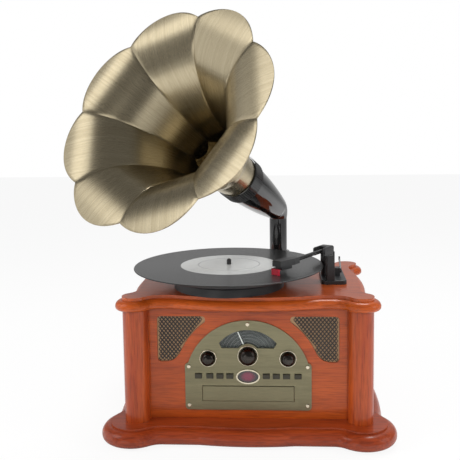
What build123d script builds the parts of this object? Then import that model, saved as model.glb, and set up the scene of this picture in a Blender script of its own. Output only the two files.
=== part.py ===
# A table-top record player with a petalled brass horn: a mahogany cabinet with round corner
# posts, a radio and disc player behind a brass fascia, a belt-driven turntable and a tonearm.
# Millimetres. The origin is the middle of the cabinet's footprint, on the plane of its feet.
# X runs to the right seen from the front, Y to the back, Z up.
import os
from math import cos, pi, radians, sin, tan

from build123d import *

os.makedirs("parts", exist_ok=True)

# Clearances
running_gap = 0.3       # between pieces that move past each other
bearing_gap = 0.08      # radial, of a pin or shaft in its bearing
seat_gap = 0.15         # between fixed pieces that are slipped together

# Cabinet
post_x = 170.0          # post axes, from the middle
post_y = 120.0
post_r = 19.2
post_h = 173.5
foot_r = 14.0
foot_h = 3.0
panel_t = 9.0
panel_inset = 5.0       # from the post axis out to the face of a panel
tongue = 15.0           # from the post axis to the end of a panel in its groove

# Plinth: its lobes are round a point a little outside the post axes
plinth_h = 25.5
plinth_step = 3.0
plinth_lobe_shift = 3.0
plinth_lobe_r = 37.0
plinth_recess_x = 195.0
plinth_recess_y = 145.0
plinth_bow_x = 4.0
plinth_bow_y = 5.0
plinth_bow_half = 70.0
plinth_blend = 40.0
plinth_nose = 14.0      # reach of the bullnose past the upper edge
plinth_undercut = 8.4

# Top board
top_h = 19.5
top_step = 1.5
top_lobe_shift = 1.0
top_lobe_r = 18.5
top_recess_x = 172.0
top_recess_y = 118.0
top_bow_x = 6.0
top_bow_y = 15.5
top_bow_back = 24.0
top_bow_half_x = 70.0
top_bow_half_y = 112.0
top_blend = 30.0
top_nose = 10.0
top_nose_r = 4.8
top_cove_r = 3.6

# Fascia
fascia_t = 2.0
fascia_half = 96.5
fascia_low = 42.0
fascia_arch_z = 86.3
fascia_arch_r = 96.0
fascia_ear_z = 116.0
fascia_lap = 12.0       # of the plate over the edge of the opening in the panel
screw_xz = [(0.0, 176.3), (-90.5, 110.3), (90.5, 110.3), (-90.4, 49.4), (90.4, 49.4)]
screw_r = 1.5
screw_head_r = 3.2
screw_head_h = 1.4
screw_l = 9.0

# Speaker grilles: the slanted side keeps a steady distance from the fascia's arch
grille_in = 40.0
grille_out = 138.5
grille_low = 117.0
grille_drop = 14.0      # from the top board down to the grille's upper side
grille_arch_gap = 17.0
grille_tip_r = 5.8
grille_heel_r = 25.0
grille_corner_r = 6.0
grille_t = 1.2
grille_depth = 3.0      # of the grille's face behind the face of the panel
grille_flange = 4.0
driver_x = 106.0
driver_z = 153.0
driver_r = 35.0
driver_depth = 32.0

# Dial
dial_half = 44.0
dial_low = 139.0
dial_top = 167.5
dial_side_z = 146.5
dial_chamfer_x = 39.6
dial_depth = 5.0
dial_wall = 1.2
dial_pane_t = 0.9
pointer_l = 38.7
pointer_w = 1.5
pointer_lean = 23.2
tuning_z = 127.3

# Knobs
side_knob_x = 60.8
side_knob_z = 123.0
side_knob_r = 11.3
side_knob_h = 12.0
side_ring_r = 13.2
tuning_knob_r = 14.2
tuning_knob_h = 14.0
tuning_ring_r = 16.0
ring_h = 1.3
shaft_r = 3.0

# Display and buttons
display_z = 95.0
display_a = 18.0
display_b = 11.4
display_rim = 2.0
button_xs = [-76.0, -58.5, -43.0, -27.8, 27.8, 43.0, 58.5, 76.0]
button_z = 95.5
button_w = 10.3
button_h = 7.5
button_proud = 2.5
button_travel = 1.5
button_flange = 1.0
stem_w = 4.0

# Disc tray and its deck
tray_half = 70.2
tray_low = 56.0
tray_top = 80.0
tray_front_t = 4.0
tray_bed_low = 57.5
tray_bed_top = 65.5
tray_bed_half = 64.0
tray_l = 146.0
disc_r = 60.5
disc_sink = 2.0
deck_half = 74.0
deck_wall = 1.5
deck_l = 145.0
deck_roof_z = 86.0
deck_hub_r = 14.0

# Circuit board behind the knobs and buttons
board_back = 20.0       # behind the back of the fascia
board_t = 1.6
board_half = 86.0
board_low = 87.0
board_step = 113.0      # over this height it is narrower, beside the speakers
board_top = 150.0
board_top_half = 71.0
pot_r = 8.0
pot_h = 11.0
standoff_xz = [(-75.5, 108.0), (-36.0, 111.0), (36.0, 111.0), (75.5, 108.0)]
standoff_r = 2.8

# Turntable
table_x = -32.5
table_y = -49.0
turret_r = 88.0
turret_top_r = 84.0
turret_h = 15.5
turret_wall = 3.0
boss_r = 9.0
boss_h = 6.0
spindle_r = 3.6
spindle_top = 264.0
record_r = 150.75
record_t = 1.5
record_z = 253.1        # underside of the record
label_r = 50.0
mat_r = 105.0
mat_t = 2.0
platter_r = 109.0
platter_h = 11.0
platter_t = 3.0
belt_ring_r = 50.0
belt_ring_t = 3.0
pulley_ratio = 8.0
pulley_gap = 6.0        # between the drive ring and the pulley
pulley_angle = 135.0
belt_t = 0.8
belt_w = 4.0
motor_r = 13.0
motor_h = 26.0
motor_shaft_r = 1.0

# Tonearm
arm_x = 127.0
arm_y = -5.0
arm_z = 271.0
arm_turn = 30.8         # of the arm on the record, from straight forward towards the left
arm_r = 3.2
arm_l = 108.0
arm_base_x = 20.0
arm_base_y = 45.0
arm_base_h = 6.5
arm_base_shift = 9.0    # of the base plate's middle to the right of the pivot
tower_r = 8.0
tower_h = 20.0
collar_r = 10.5
yoke_l = 36.0
yoke_w = 22.0
yoke_h = 13.0
yoke_forward = 12.0
cheek_t = 4.5
lift_pin_r = 1.5
head_turn = 12.0
head_l = 40.0
head_sleeve = 6.0       # of the headshell back over the arm
head_w = 17.0
head_h = 9.0
guard_w = 15.0
guard_h = 9.0
guard_t = 4.0
rest_y = -44.0
rest_w = 13.0
rest_d = 8.0
lever_x = 150.0
lever_y = -8.0
lever_z = 236.0
lever_l = 30.0
lever_w = 2.5

# Horn
horn_x = 45.6
horn_y = 121.0
horn_bend_z = 321.7     # where the axes of the tube and of the horn meet
horn_azimuth = 30.6     # of the mouth, from straight forward towards the left
horn_rise = 27.85
horn_l = 361.9          # from the bend to the plane of the mouth
tube_r = 16.0
tube_wall = 2.0
tube_low = 226.0
bend_r = 25.0
bend_out_r = 22.8
cone_mid_s = 292.0      # distances behind the mouth, down the horn's axis
cone_mid_r = 31.5
joint_s = 226.0
joint_r = 36.2
collar_back_s = 234.0
collar_front_s = 208.0
collar_t = 2.2
neck_s = 148.0
neck_flute_s = 172.0
neck_flute_r = 42.0
sheet_t = 1.2
petal_count = 8
petal_seam_turn = 93.4  # of a seam between petals, round the horn's axis
petal_edge_r = 83.0
petal_edge_centre = 98.8
# The petal's middle line, from the throat to the lip: depth behind the mouth, radius
petal_line = [(148.0, 44.6), (100.0, 54.2), (57.0, 73.6), (28.0, 93.6), (8.0, 122.5), (-1.5, 158.0), (-2.0, 184.0)]
socket_flange_r = 24.0
socket_flange_h = 4.0
socket_r = 20.5
socket_h = 24.0
thumb_screw_r = 4.0
thumb_screw_l = 9.0

# Heights and faces that follow from the sizes above
plinth_z = foot_h
floor_z = plinth_z + plinth_h
top_z = floor_z + post_h
grille_top = top_z - grille_drop
deck_z = top_z + top_h
panel_y = -post_y + panel_inset          # front face of the front panel
panel_x = post_x - panel_inset           # outer face of a side panel
fascia_y = panel_y - fascia_t


def serpentine(lobe_x, lobe_y, lobe_r, recess_x, recess_y, bow_x, bow_half_x, bows_y, bow_half_y, blend):
    """Plan of a cabinet board: a round lobe at each corner and a bowed run between the lobes."""
    with BuildSketch() as plan:
        Rectangle(2 * recess_x, 2 * recess_y)
        with GridLocations(2 * lobe_x, 2 * lobe_y, 2, 2):
            Circle(lobe_r)
        for side, bow in zip((-1, 1), bows_y):
            with BuildLine():
                ends = [(-bow_half_y, side * recess_y), (bow_half_y, side * recess_y)]
                ThreePointArc(ends[0], (0, side * (recess_y + bow)), ends[1])
                Line(*ends)
            make_face()
        for side in (-1, 1):
            with BuildLine():
                ends = [(side * recess_x, -bow_half_x), (side * recess_x, bow_half_x)]
                ThreePointArc(ends[0], (side * (recess_x + bow_x), 0), ends[1])
                Line(*ends)
            make_face()
        inner = [
            corner for corner in plan.vertices()
            if abs(abs(corner.X) - recess_x) < 0.01 or abs(abs(corner.Y) - recess_y) < 0.01
        ]
        fillet(inner, blend)
    return plan.sketch


top_plan = serpentine(
    post_x + top_lobe_shift, post_y + top_lobe_shift, top_lobe_r, top_recess_x, top_recess_y,
    top_bow_x, top_bow_half_x, (top_bow_y, top_bow_back), top_bow_half_y, top_blend,
)
plinth_plan = serpentine(
    post_x + plinth_lobe_shift, post_y + plinth_lobe_shift, plinth_lobe_r, plinth_recess_x, plinth_recess_y,
    plinth_bow_x, plinth_bow_half, (plinth_bow_y, plinth_bow_y), plinth_bow_half, plinth_blend,
)

# Plinth: a plain step over a bullnose that is wider at its upper side
with BuildPart() as plinth:
    with BuildSketch(Plane.XY.offset(plinth_z)):
        add(plinth_plan)
        offset(amount=plinth_nose)
    extrude(amount=plinth_h - plinth_step)
    fillet(plinth.faces().sort_by(Axis.Z)[-1].outer_wire().edges(), plinth_nose - 1)
    fillet(plinth.faces().sort_by(Axis.Z)[0].outer_wire().edges(), plinth_undercut)
    with BuildSketch(Plane.XY.offset(plinth_z + plinth_h - plinth_step)):
        add(plinth_plan)
    extrude(amount=plinth_step)
plinth.part.label = "plinth"
export_step(plinth.part, "parts/plinth.step")

with BuildPart() as rubber_feet:
    with BuildSketch():
        with GridLocations(2 * post_x, 2 * post_y, 2, 2):
            Circle(foot_r)
    extrude(amount=foot_h)
rubber_feet.part.label = "rubber_feet"
export_step(rubber_feet.part, "parts/rubber_feet.step")

# Corner posts, each with a groove for the ends of the two panels that meet it
with BuildPart() as corner_posts:
    with BuildSketch(Plane.XY.offset(floor_z)):
        with GridLocations(2 * post_x, 2 * post_y, 2, 2):
            Circle(post_r)
        with GridLocations(0, 2 * (-panel_y - panel_t / 2), 1, 2):
            Rectangle(2 * (post_x - tongue), panel_t, mode=Mode.SUBTRACT)
        with GridLocations(2 * (panel_x - panel_t / 2), 0, 2, 1):
            Rectangle(panel_t, 2 * (post_y - tongue), mode=Mode.SUBTRACT)
    extrude(amount=post_h)
corner_posts.part.label = "corner_posts"
export_step(corner_posts.part, "parts/corner_posts.step")


def fascia_outline(shrink):
    """Front view of the fascia: an arch on straight sides, with an ear at each shoulder."""
    with BuildSketch() as outline:
        with Locations((0, (fascia_low + fascia_ear_z) / 2)):
            RectangleRounded(2 * fascia_half, fascia_ear_z - fascia_low, 6)
        with Locations((0, fascia_arch_z)):
            Circle(fascia_arch_r)
        with Locations((0, fascia_low - fascia_arch_r)):
            Rectangle(4 * fascia_half, 2 * fascia_arch_r, mode=Mode.SUBTRACT)
        if shrink:
            offset(amount=-shrink)
    return outline.sketch


def grille_outline(grow):
    """Front view of the left grille: two straight sides and one that follows the fascia's arch."""
    with BuildSketch() as outline:
        with Locations((-(grille_out + grille_in) / 2, (grille_low + grille_top) / 2)):
            Rectangle(grille_out - grille_in, grille_top - grille_low)
        with Locations((0, fascia_arch_z)):
            Circle(fascia_arch_r + grille_arch_gap, mode=Mode.SUBTRACT)
        corners = outline.vertices()
        fillet(corners.sort_by(Axis.X)[-1], grille_tip_r)
        low = outline.vertices().filter_by(lambda v: abs(v.Y - grille_low) < 0.01)
        fillet(low.sort_by(Axis.X)[-1], grille_heel_r)
        fillet(outline.vertices().filter_by(lambda v: abs(v.X + grille_out) < 0.01), grille_corner_r)
        if grow:
            offset(amount=grow)
    return outline.sketch


# Sketches seen from the front lie in planes whose local Y is the object's Z
def front(y):
    """Plane facing the front at the given Y."""
    return Plane(origin=(0, y, 0), x_dir=(1, 0, 0), z_dir=(0, -1, 0))


with BuildPart() as front_panel:
    with BuildSketch(front(panel_y + panel_t)):
        with Locations((0, floor_z + post_h / 2)):
            Rectangle(2 * (post_x - tongue), post_h)
        add(fascia_outline(fascia_lap), mode=Mode.SUBTRACT)
        add(grille_outline(0), mode=Mode.SUBTRACT)
        add(mirror(grille_outline(0), about=Plane.YZ), mode=Mode.SUBTRACT)
        with Locations(*screw_xz):
            Circle(screw_r, mode=Mode.SUBTRACT)
    extrude(amount=panel_t)
front_panel.part.label = "front_panel"
export_step(front_panel.part, "parts/front_panel.step")

for name, side in (("side_panel_left", -1), ("side_panel_right", 1)):
    with BuildPart() as side_panel:
        with BuildSketch(Plane.XY.offset(floor_z)):
            with Locations((side * (panel_x - panel_t / 2), 0)):
                Rectangle(panel_t, 2 * (post_y - tongue))
        extrude(amount=post_h)
    side_panel.part.label = name
    export_step(side_panel.part, f"parts/{name}.step")

# Back panel, with the opening for the sockets and a row of vents
jack_x = 60.0
jack_z = 78.0
jack_w = 120.0
jack_h = 52.0
jack_t = 2.0
jack_lap = 6.0
vent_w = 4.0
vent_h = 40.0
vent_pitch = 14.0
vent_count = 7
with BuildPart() as back_panel:
    with BuildSketch(front(-panel_y)):
        with Locations((0, floor_z + post_h / 2)):
            Rectangle(2 * (post_x - tongue), post_h)
        with Locations((jack_x, jack_z)):
            Rectangle(jack_w - 2 * jack_lap, jack_h - 2 * jack_lap, mode=Mode.SUBTRACT)
        with Locations((-post_x / 2, jack_z)):
            with GridLocations(vent_pitch, 0, vent_count, 1):
                SlotOverall(vent_h, vent_w, rotation=90, mode=Mode.SUBTRACT)
    extrude(amount=panel_t)
back_panel.part.label = "back_panel"
export_step(back_panel.part, "parts/back_panel.step")

# Top board: a bullnose, a cove over it and a thin upright edge
pulley_r = belt_ring_r / pulley_ratio
pulley_reach = belt_ring_r + pulley_gap + pulley_r
motor_x = table_x + pulley_reach * cos(radians(pulley_angle))
motor_y = table_y + pulley_reach * sin(radians(pulley_angle))
nose_h = top_h - top_step - top_cove_r
with BuildPart() as top_board:
    with BuildSketch(Plane.XY.offset(top_z)):
        add(top_plan)
        offset(amount=top_nose)
    extrude(amount=nose_h)
    fillet(top_board.faces().sort_by(Axis.Z)[-1].outer_wire().edges(), nose_h - top_nose_r - 0.1)
    fillet(top_board.faces().sort_by(Axis.Z)[0].outer_wire().edges(), top_nose_r)
    with BuildSketch(Plane.XY.offset(top_z + nose_h)):
        add(top_plan)
    extrude(amount=top_cove_r + top_step)
    with BuildSketch(Plane.XY.offset(top_z)):
        with Locations((motor_x, motor_y)):
            Circle(motor_r + 2)
    extrude(amount=top_h, mode=Mode.SUBTRACT)
top_board.part.label = "top_board"
export_step(top_board.part, "parts/top_board.step")

# Speaker grilles: a dished plate with a flange on the back of the panel
for name, flip in (("speaker_grille_left", False), ("speaker_grille_right", True)):
    with BuildPart() as grille:
        with BuildSketch(front(panel_y + grille_depth + grille_t)):
            add(grille_outline(-seat_gap))
        extrude(amount=grille_t)
        with BuildSketch(front(panel_y + panel_t + grille_t)):
            add(grille_outline(-seat_gap))
            add(grille_outline(-seat_gap - grille_t), mode=Mode.SUBTRACT)
        extrude(amount=panel_t - grille_depth)
        with BuildSketch(front(panel_y + panel_t + grille_t)):
            add(grille_outline(grille_flange))
            add(grille_outline(-seat_gap - grille_t), mode=Mode.SUBTRACT)
        extrude(amount=grille_t)
        if flip:
            mirror(about=Plane.YZ, mode=Mode.REPLACE)
    grille.part.label = name
    export_step(grille.part, f"parts/{name}.step")

# Speaker drivers: a frame, a paper cone and a magnet, turned about the X of a side sketch
driver_y = panel_y + panel_t + grille_t
with BuildPart() as speaker_drivers:
    for side in (-1, 1):
        with BuildSketch(Plane(origin=(side * driver_x, driver_y, driver_z), x_dir=(0, 1, 0), z_dir=(1, 0, 0))):
            with BuildLine():
                Polyline(
                    (0, driver_r - 5), (0, driver_r), (2, driver_r), (2, driver_r - 3),
                    (driver_depth * 0.5, driver_r * 0.55), (driver_depth * 0.5, driver_r * 0.62),
                    (driver_depth, driver_r * 0.62), (driver_depth, 0), (driver_depth * 0.4, 0),
                    (driver_depth * 0.4, driver_r * 0.3), (0, driver_r - 5),
                )
            make_face()
        revolve(axis=Axis((side * driver_x, driver_y, driver_z), (0, 1, 0)))
speaker_drivers.part.label = "speaker_drivers"
export_step(speaker_drivers.part, "parts/speaker_drivers.step")


def dial_outline(grow):
    """Front view of the dial window: an arched fan with clipped lower corners."""
    with BuildSketch() as outline:
        with BuildLine():
            ThreePointArc((-dial_half, dial_side_z), (0, dial_top), (dial_half, dial_side_z))
            Polyline(
                (dial_half, dial_side_z), (dial_chamfer_x, dial_low),
                (-dial_chamfer_x, dial_low), (-dial_half, dial_side_z),
            )
        make_face()
        if grow:
            offset(amount=grow)
    return outline.sketch


def hub_outline(radius):
    """Upper part of a disc round the tuning shaft, in front view."""
    with BuildSketch() as outline:
        with Locations((0, tuning_z)):
            Circle(radius)
        with Locations((0, tuning_z - 10 - radius)):
            Rectangle(4 * radius, 2 * radius, mode=Mode.SUBTRACT)
    return outline.sketch


pointer_room = 22.5
knob_places = [
    ("volume_knob", -side_knob_x, side_knob_z, side_knob_r, side_knob_h, side_ring_r),
    ("tuning_knob", 0.0, tuning_z, tuning_knob_r, tuning_knob_h, tuning_ring_r),
    ("function_knob", side_knob_x, side_knob_z, side_knob_r, side_knob_h, side_ring_r),
]

with BuildPart() as fascia_plate:
    with BuildSketch(front(panel_y)):
        add(fascia_outline(0))
        add(dial_outline(0), mode=Mode.SUBTRACT)
        with Locations((0, tuning_z)):
            Circle(tuning_ring_r + 2.5)
        for name, x, z, knob_r, knob_h, ring_r in knob_places:
            with Locations((x, z)):
                Circle(shaft_r + running_gap, mode=Mode.SUBTRACT)
        with Locations((0, display_z)):
            Ellipse(display_a - display_rim, display_b - display_rim, mode=Mode.SUBTRACT)
        with Locations(*[(x, button_z) for x in button_xs]):
            Rectangle(button_w + 2 * running_gap, button_h + 2 * running_gap, mode=Mode.SUBTRACT)
        with Locations((0, (tray_low + tray_top) / 2)):
            Rectangle(2 * (tray_half + running_gap), tray_top - tray_low + 2 * running_gap, mode=Mode.SUBTRACT)
        with Locations(*screw_xz):
            Circle(screw_r + seat_gap, mode=Mode.SUBTRACT)
    extrude(amount=fascia_t)
fascia_plate.part.label = "fascia_plate"
export_step(fascia_plate.part, "parts/fascia_plate.step")

with BuildPart() as fascia_screws:
    with BuildSketch(front(fascia_y)):
        with Locations(*screw_xz):
            Circle(screw_head_r)
    extrude(amount=screw_head_h)
    fillet(fascia_screws.faces().filter_by(Axis.Y).group_by(Axis.Y)[0].edges(), screw_head_h * 0.7)
    with BuildSketch(front(fascia_y + screw_l)):
        with Locations(*screw_xz):
            Circle(screw_r - seat_gap)
    extrude(amount=screw_l)
fascia_screws.part.label = "fascia_screws"
export_step(fascia_screws.part, "parts/fascia_screws.step")

with BuildPart() as dial_scale:
    with BuildSketch(front(panel_y + dial_depth + dial_wall)):
        add(dial_outline(2 * dial_wall))
        add(hub_outline(pointer_room + dial_wall))
    extrude(amount=dial_depth + dial_wall)
    with BuildSketch(front(panel_y + dial_depth)):
        add(dial_outline(dial_wall))
        add(hub_outline(pointer_room), mode=Mode.ADD)
    extrude(amount=dial_depth, mode=Mode.SUBTRACT)
    with BuildSketch(front(panel_y + dial_depth + dial_wall)):
        with Locations((0, tuning_z)):
            Circle(shaft_r + running_gap)
    extrude(amount=dial_wall, mode=Mode.SUBTRACT)
dial_scale.part.label = "dial_scale"
export_step(dial_scale.part, "parts/dial_scale.step")

with BuildPart() as dial_window:
    with BuildSketch(front(panel_y + dial_pane_t)):
        add(dial_outline(dial_wall - seat_gap))
        with Locations((0, tuning_z)):
            Circle(tuning_ring_r, mode=Mode.SUBTRACT)
    extrude(amount=dial_pane_t)
dial_window.part.label = "dial_window"
export_step(dial_window.part, "parts/dial_window.step")

with BuildPart() as dial_pointer:
    with BuildSketch(front(panel_y + dial_depth - 1.5)):
        with Locations((0, tuning_z)):
            Circle(shaft_r + 3)
            with Locations(Location((0, 0), pointer_lean)):
                with Locations((0, pointer_l / 2)):
                    Rectangle(pointer_w, pointer_l)
            Circle(shaft_r + running_gap, mode=Mode.SUBTRACT)
    extrude(amount=1.0)
dial_pointer.part.label = "dial_pointer"
export_step(dial_pointer.part, "parts/dial_pointer.step")

with BuildPart() as knob_rings:
    for name, x, z, knob_r, knob_h, ring_r in knob_places:
        with BuildSketch(front(fascia_y)):
            with Locations((x, z)):
                Circle(ring_r)
                Circle(ring_r - 1.5, mode=Mode.SUBTRACT)
        extrude(amount=ring_h)
    chamfer(knob_rings.faces().filter_by(Axis.Y).group_by(Axis.Y)[0].edges(), 0.4)
knob_rings.part.label = "knob_rings"
export_step(knob_rings.part, "parts/knob_rings.step")

# Knobs: a turned body with a domed face, on a shaft that reaches into its control
shaft_end_y = panel_y + board_back - running_gap
for name, x, z, knob_r, knob_h, ring_r in knob_places:
    back = fascia_y - running_gap
    with BuildPart() as knob:
        with BuildSketch(Plane(origin=(x, back, z), x_dir=(0, 1, 0), z_dir=(1, 0, 0))):
            with BuildLine():
                ThreePointArc((-knob_h, 0), (-knob_h * 0.8, knob_r * 0.68), (-knob_h * 0.35, knob_r * 0.97))
                Polyline(
                    (-knob_h * 0.35, knob_r * 0.97), (0, knob_r), (0, shaft_r),
                    (shaft_end_y - back, shaft_r), (shaft_end_y - back, 0), (-knob_h, 0),
                )
            make_face()
        revolve(axis=Axis((x, back, z), (0, 1, 0)))
    knob.part.label = name
    export_step(knob.part, f"parts/{name}.step")

with BuildPart() as display_bezel:
    with BuildSketch(front(fascia_y)):
        with Locations((0, display_z)):
            Ellipse(display_a, display_b)
            Ellipse(display_a - display_rim, display_b - display_rim, mode=Mode.SUBTRACT)
    extrude(amount=1.6)
display_bezel.part.label = "display_bezel"
export_step(display_bezel.part, "parts/display_bezel.step")

with BuildPart() as display_lens:
    with BuildSketch(front(panel_y)):
        with Locations((0, display_z)):
            Ellipse(display_a - display_rim - seat_gap, display_b - display_rim - seat_gap)
    extrude(amount=fascia_t + 0.8)
    fillet(display_lens.faces().filter_by(Axis.Y).sort_by(Axis.Y)[0].edges(), 0.6)
display_lens.part.label = "display_lens"
export_step(display_lens.part, "parts/display_lens.step")

# Push buttons: a cap through the fascia, a flange behind it and a stem to its switch
switch_h = 6.0
for number, x in enumerate(button_xs, 1):
    name = f"button_{number}"
    flange_back = panel_y + running_gap + button_flange
    stem_end = panel_y + board_back - switch_h - running_gap - button_travel
    with BuildPart() as button:
        with BuildSketch(front(flange_back)):
            with Locations((x, button_z)):
                Rectangle(button_w, button_h)
        extrude(amount=flange_back - fascia_y + button_proud)
        fillet(button.faces().sort_by(Axis.Y)[0].edges(), 0.8)
        with BuildSketch(front(flange_back)):
            with Locations((x, button_z)):
                Rectangle(button_w + 2, button_h + 3)
        extrude(amount=button_flange)
        with BuildSketch(front(stem_end)):
            with Locations((x, button_z)):
                Rectangle(stem_w, stem_w)
        extrude(amount=stem_end - flange_back)
    button.part.label = name
    export_step(button.part, f"parts/{name}.step")

# Disc tray: a brass front and a bed with the disc's recess
with BuildPart() as cd_tray:
    with BuildSketch(front(panel_y + 1)):
        with Locations((0, (tray_low + tray_top) / 2)):
            RectangleRounded(2 * tray_half, tray_top - tray_low, 1.5)
    extrude(amount=tray_front_t)
    chamfer(cd_tray.faces().sort_by(Axis.Y)[0].edges(), 0.8)
    with BuildSketch(Plane.XY.offset(tray_bed_low)):
        with Locations((0, panel_y + 1 + tray_l / 2)):
            Rectangle(2 * tray_bed_half, tray_l)
    extrude(amount=tray_bed_top - tray_bed_low)
    fillet(cd_tray.edges().filter_by(Axis.Z).group_by(Axis.Y)[-1], 8)
    disc_y = panel_y + 8 + disc_r
    with BuildSketch(Plane.XY.offset(tray_bed_top - disc_sink)):
        with Locations((0, disc_y)):
            Circle(disc_r)
    extrude(amount=disc_sink, mode=Mode.SUBTRACT)
    with BuildSketch(Plane.XY.offset(tray_bed_low)):
        with Locations((0, disc_y + disc_r / 2)):
            Rectangle(2 * deck_hub_r, disc_r + 2 * deck_hub_r)
    extrude(amount=tray_bed_top - tray_bed_low, mode=Mode.SUBTRACT)
cd_tray.part.label = "cd_tray"
export_step(cd_tray.part, "parts/cd_tray.step")

# Disc deck: a folded case on two side plates, with the disc motor below and the clamp above
deck_front_y = panel_y + panel_t + 1
deck_floor_z = tray_bed_low - running_gap - deck_wall
with BuildPart() as cd_deck:
    for side in (-1, 1):
        with BuildSketch(Plane.XY.offset(floor_z)):
            with Locations((side * (deck_half - deck_wall / 2), deck_front_y + deck_l / 2)):
                Rectangle(deck_wall, deck_l)
        extrude(amount=deck_roof_z - floor_z)
    for low in (deck_floor_z, deck_roof_z - deck_wall):
        with BuildSketch(Plane.XY.offset(low)):
            with Locations((0, deck_front_y + deck_l / 2)):
                Rectangle(2 * deck_half, deck_l)
        extrude(amount=deck_wall)
    with BuildSketch(Plane.XY.offset(floor_z + 8)):
        with Locations((0, disc_y)):
            Circle(deck_hub_r)
    extrude(amount=deck_floor_z - floor_z - 8)
    with BuildSketch(Plane.XY.offset(tray_bed_top + 4)):
        with Locations((0, disc_y)):
            Circle(deck_hub_r)
    extrude(amount=deck_roof_z - deck_wall - tray_bed_top - 4)
cd_deck.part.label = "cd_deck"
export_step(cd_deck.part, "parts/cd_deck.step")

# Circuit board on four standoffs, with the controls, the display module and the switches
board_y = panel_y + board_back
with BuildPart() as circuit_board:
    with BuildSketch(front(board_y + board_t)):
        with Locations((0, (board_low + board_step) / 2)):
            Rectangle(2 * board_half, board_step - board_low)
        with Locations((0, (board_low + board_top) / 2)):
            Rectangle(2 * board_top_half, board_top - board_low)
    extrude(amount=board_t)
    with BuildSketch(front(board_y)):
        with Locations(*standoff_xz):
            Circle(standoff_r)
    extrude(amount=board_back)
    with BuildSketch(front(board_y)):
        for name, x, z, knob_r, knob_h, ring_r in knob_places:
            with Locations((x, z)):
                Circle(pot_r)
                Circle(shaft_r + bearing_gap, mode=Mode.SUBTRACT)
    extrude(amount=pot_h)
    with BuildSketch(front(board_y)):
        with Locations((0, display_z)):
            Rectangle(2 * (display_a - 2 * display_rim), 2 * (display_b - 2 * display_rim))
    extrude(amount=board_back)
    with BuildSketch(front(board_y)):
        with Locations(*[(x, button_z) for x in button_xs]):
            Rectangle(6, 6)
    extrude(amount=switch_h)
circuit_board.part.label = "circuit_board"
export_step(circuit_board.part, "parts/circuit_board.step")

# Mains transformer: a laminated core with its winding, on a foot plate
trafo_x = -112.0
trafo_y = 62.0
with BuildPart() as transformer:
    with BuildSketch(Plane.XY.offset(floor_z)):
        with Locations((trafo_x, trafo_y)):
            Rectangle(70, 44)
    extrude(amount=2)
    with BuildSketch(Plane.XY.offset(floor_z + 2)):
        with Locations((trafo_x, trafo_y)):
            Rectangle(54, 24)
    extrude(amount=46)
    with BuildSketch(Plane.XY.offset(floor_z + 12)):
        with Locations((trafo_x, trafo_y)):
            RectangleRounded(36, 42, 6)
    extrude(amount=26)
transformer.part.label = "transformer"
export_step(transformer.part, "parts/transformer.step")

# Socket plate on the back: a mains inlet, four line sockets and an earphone socket
inlet_x = jack_x + 32.0
with BuildPart() as rear_jacks:
    back_face = -panel_y
    with BuildSketch(front(back_face + jack_t)):
        with Locations((jack_x, jack_z)):
            RectangleRounded(jack_w, jack_h, 3)
        with Locations((inlet_x, jack_z)):
            Rectangle(26, 19, mode=Mode.SUBTRACT)
    extrude(amount=jack_t)
    with BuildSketch(front(back_face)):
        with Locations((inlet_x, jack_z)):
            Rectangle(30, 23)
            Rectangle(26, 19, mode=Mode.SUBTRACT)
    extrude(amount=18)
    with BuildSketch(front(back_face - 16)):
        with Locations((inlet_x, jack_z)):
            Rectangle(30, 23)
    extrude(amount=2)
    with BuildSketch(front(back_face + jack_t + 8)):
        with Locations((jack_x - 24, jack_z)):
            with GridLocations(16, 16, 2, 2):
                Circle(4.2)
                Circle(1.7, mode=Mode.SUBTRACT)
    extrude(amount=8)
rear_jacks.part.label = "rear_jacks"
export_step(rear_jacks.part, "parts/rear_jacks.step")

# Turntable base: a low round turret with the platter's bearing in its middle
turret_z = deck_z + turret_h
with BuildPart() as turntable_base:
    with BuildSketch(Plane(origin=(table_x, table_y, deck_z), x_dir=(1, 0, 0), z_dir=(0, -1, 0))):
        with BuildLine():
            Polyline(
                (turret_r - turret_wall, 0), (turret_r, 0), (turret_top_r + 2, turret_h - 4),
                (turret_top_r - 2, turret_h), (boss_r, turret_h), (boss_r - 1, turret_h + boss_h),
                (spindle_r + bearing_gap, turret_h + boss_h), (spindle_r + bearing_gap, turret_h - turret_wall),
                (turret_top_r - turret_wall, turret_h - turret_wall), (turret_r - turret_wall, 0),
            )
        make_face()
    revolve(axis=Axis((table_x, table_y, deck_z), (0, 0, 1)))
    with BuildSketch(Plane.XY.offset(turret_z - turret_wall)):
        with Locations((motor_x, motor_y)):
            Circle(motor_shaft_r + 2)
    extrude(amount=turret_wall, mode=Mode.SUBTRACT)
turntable_base.part.label = "turntable_base"
export_step(turntable_base.part, "parts/turntable_base.step")

with BuildPart() as platter_motor:
    with BuildSketch(Plane.XY.offset(turret_z - turret_wall - motor_h)):
        with Locations((motor_x, motor_y)):
            Circle(motor_r)
    extrude(amount=motor_h)
    fillet(platter_motor.faces().sort_by(Axis.Z)[0].edges(), 1.5)
    with BuildSketch(Plane.XY.offset(turret_z - turret_wall - 4)):
        with Locations((motor_x, motor_y)):
            Circle(motor_shaft_r + bearing_gap)
    extrude(amount=4, mode=Mode.SUBTRACT)
platter_motor.part.label = "platter_motor"
export_step(platter_motor.part, "parts/platter_motor.step")

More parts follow.
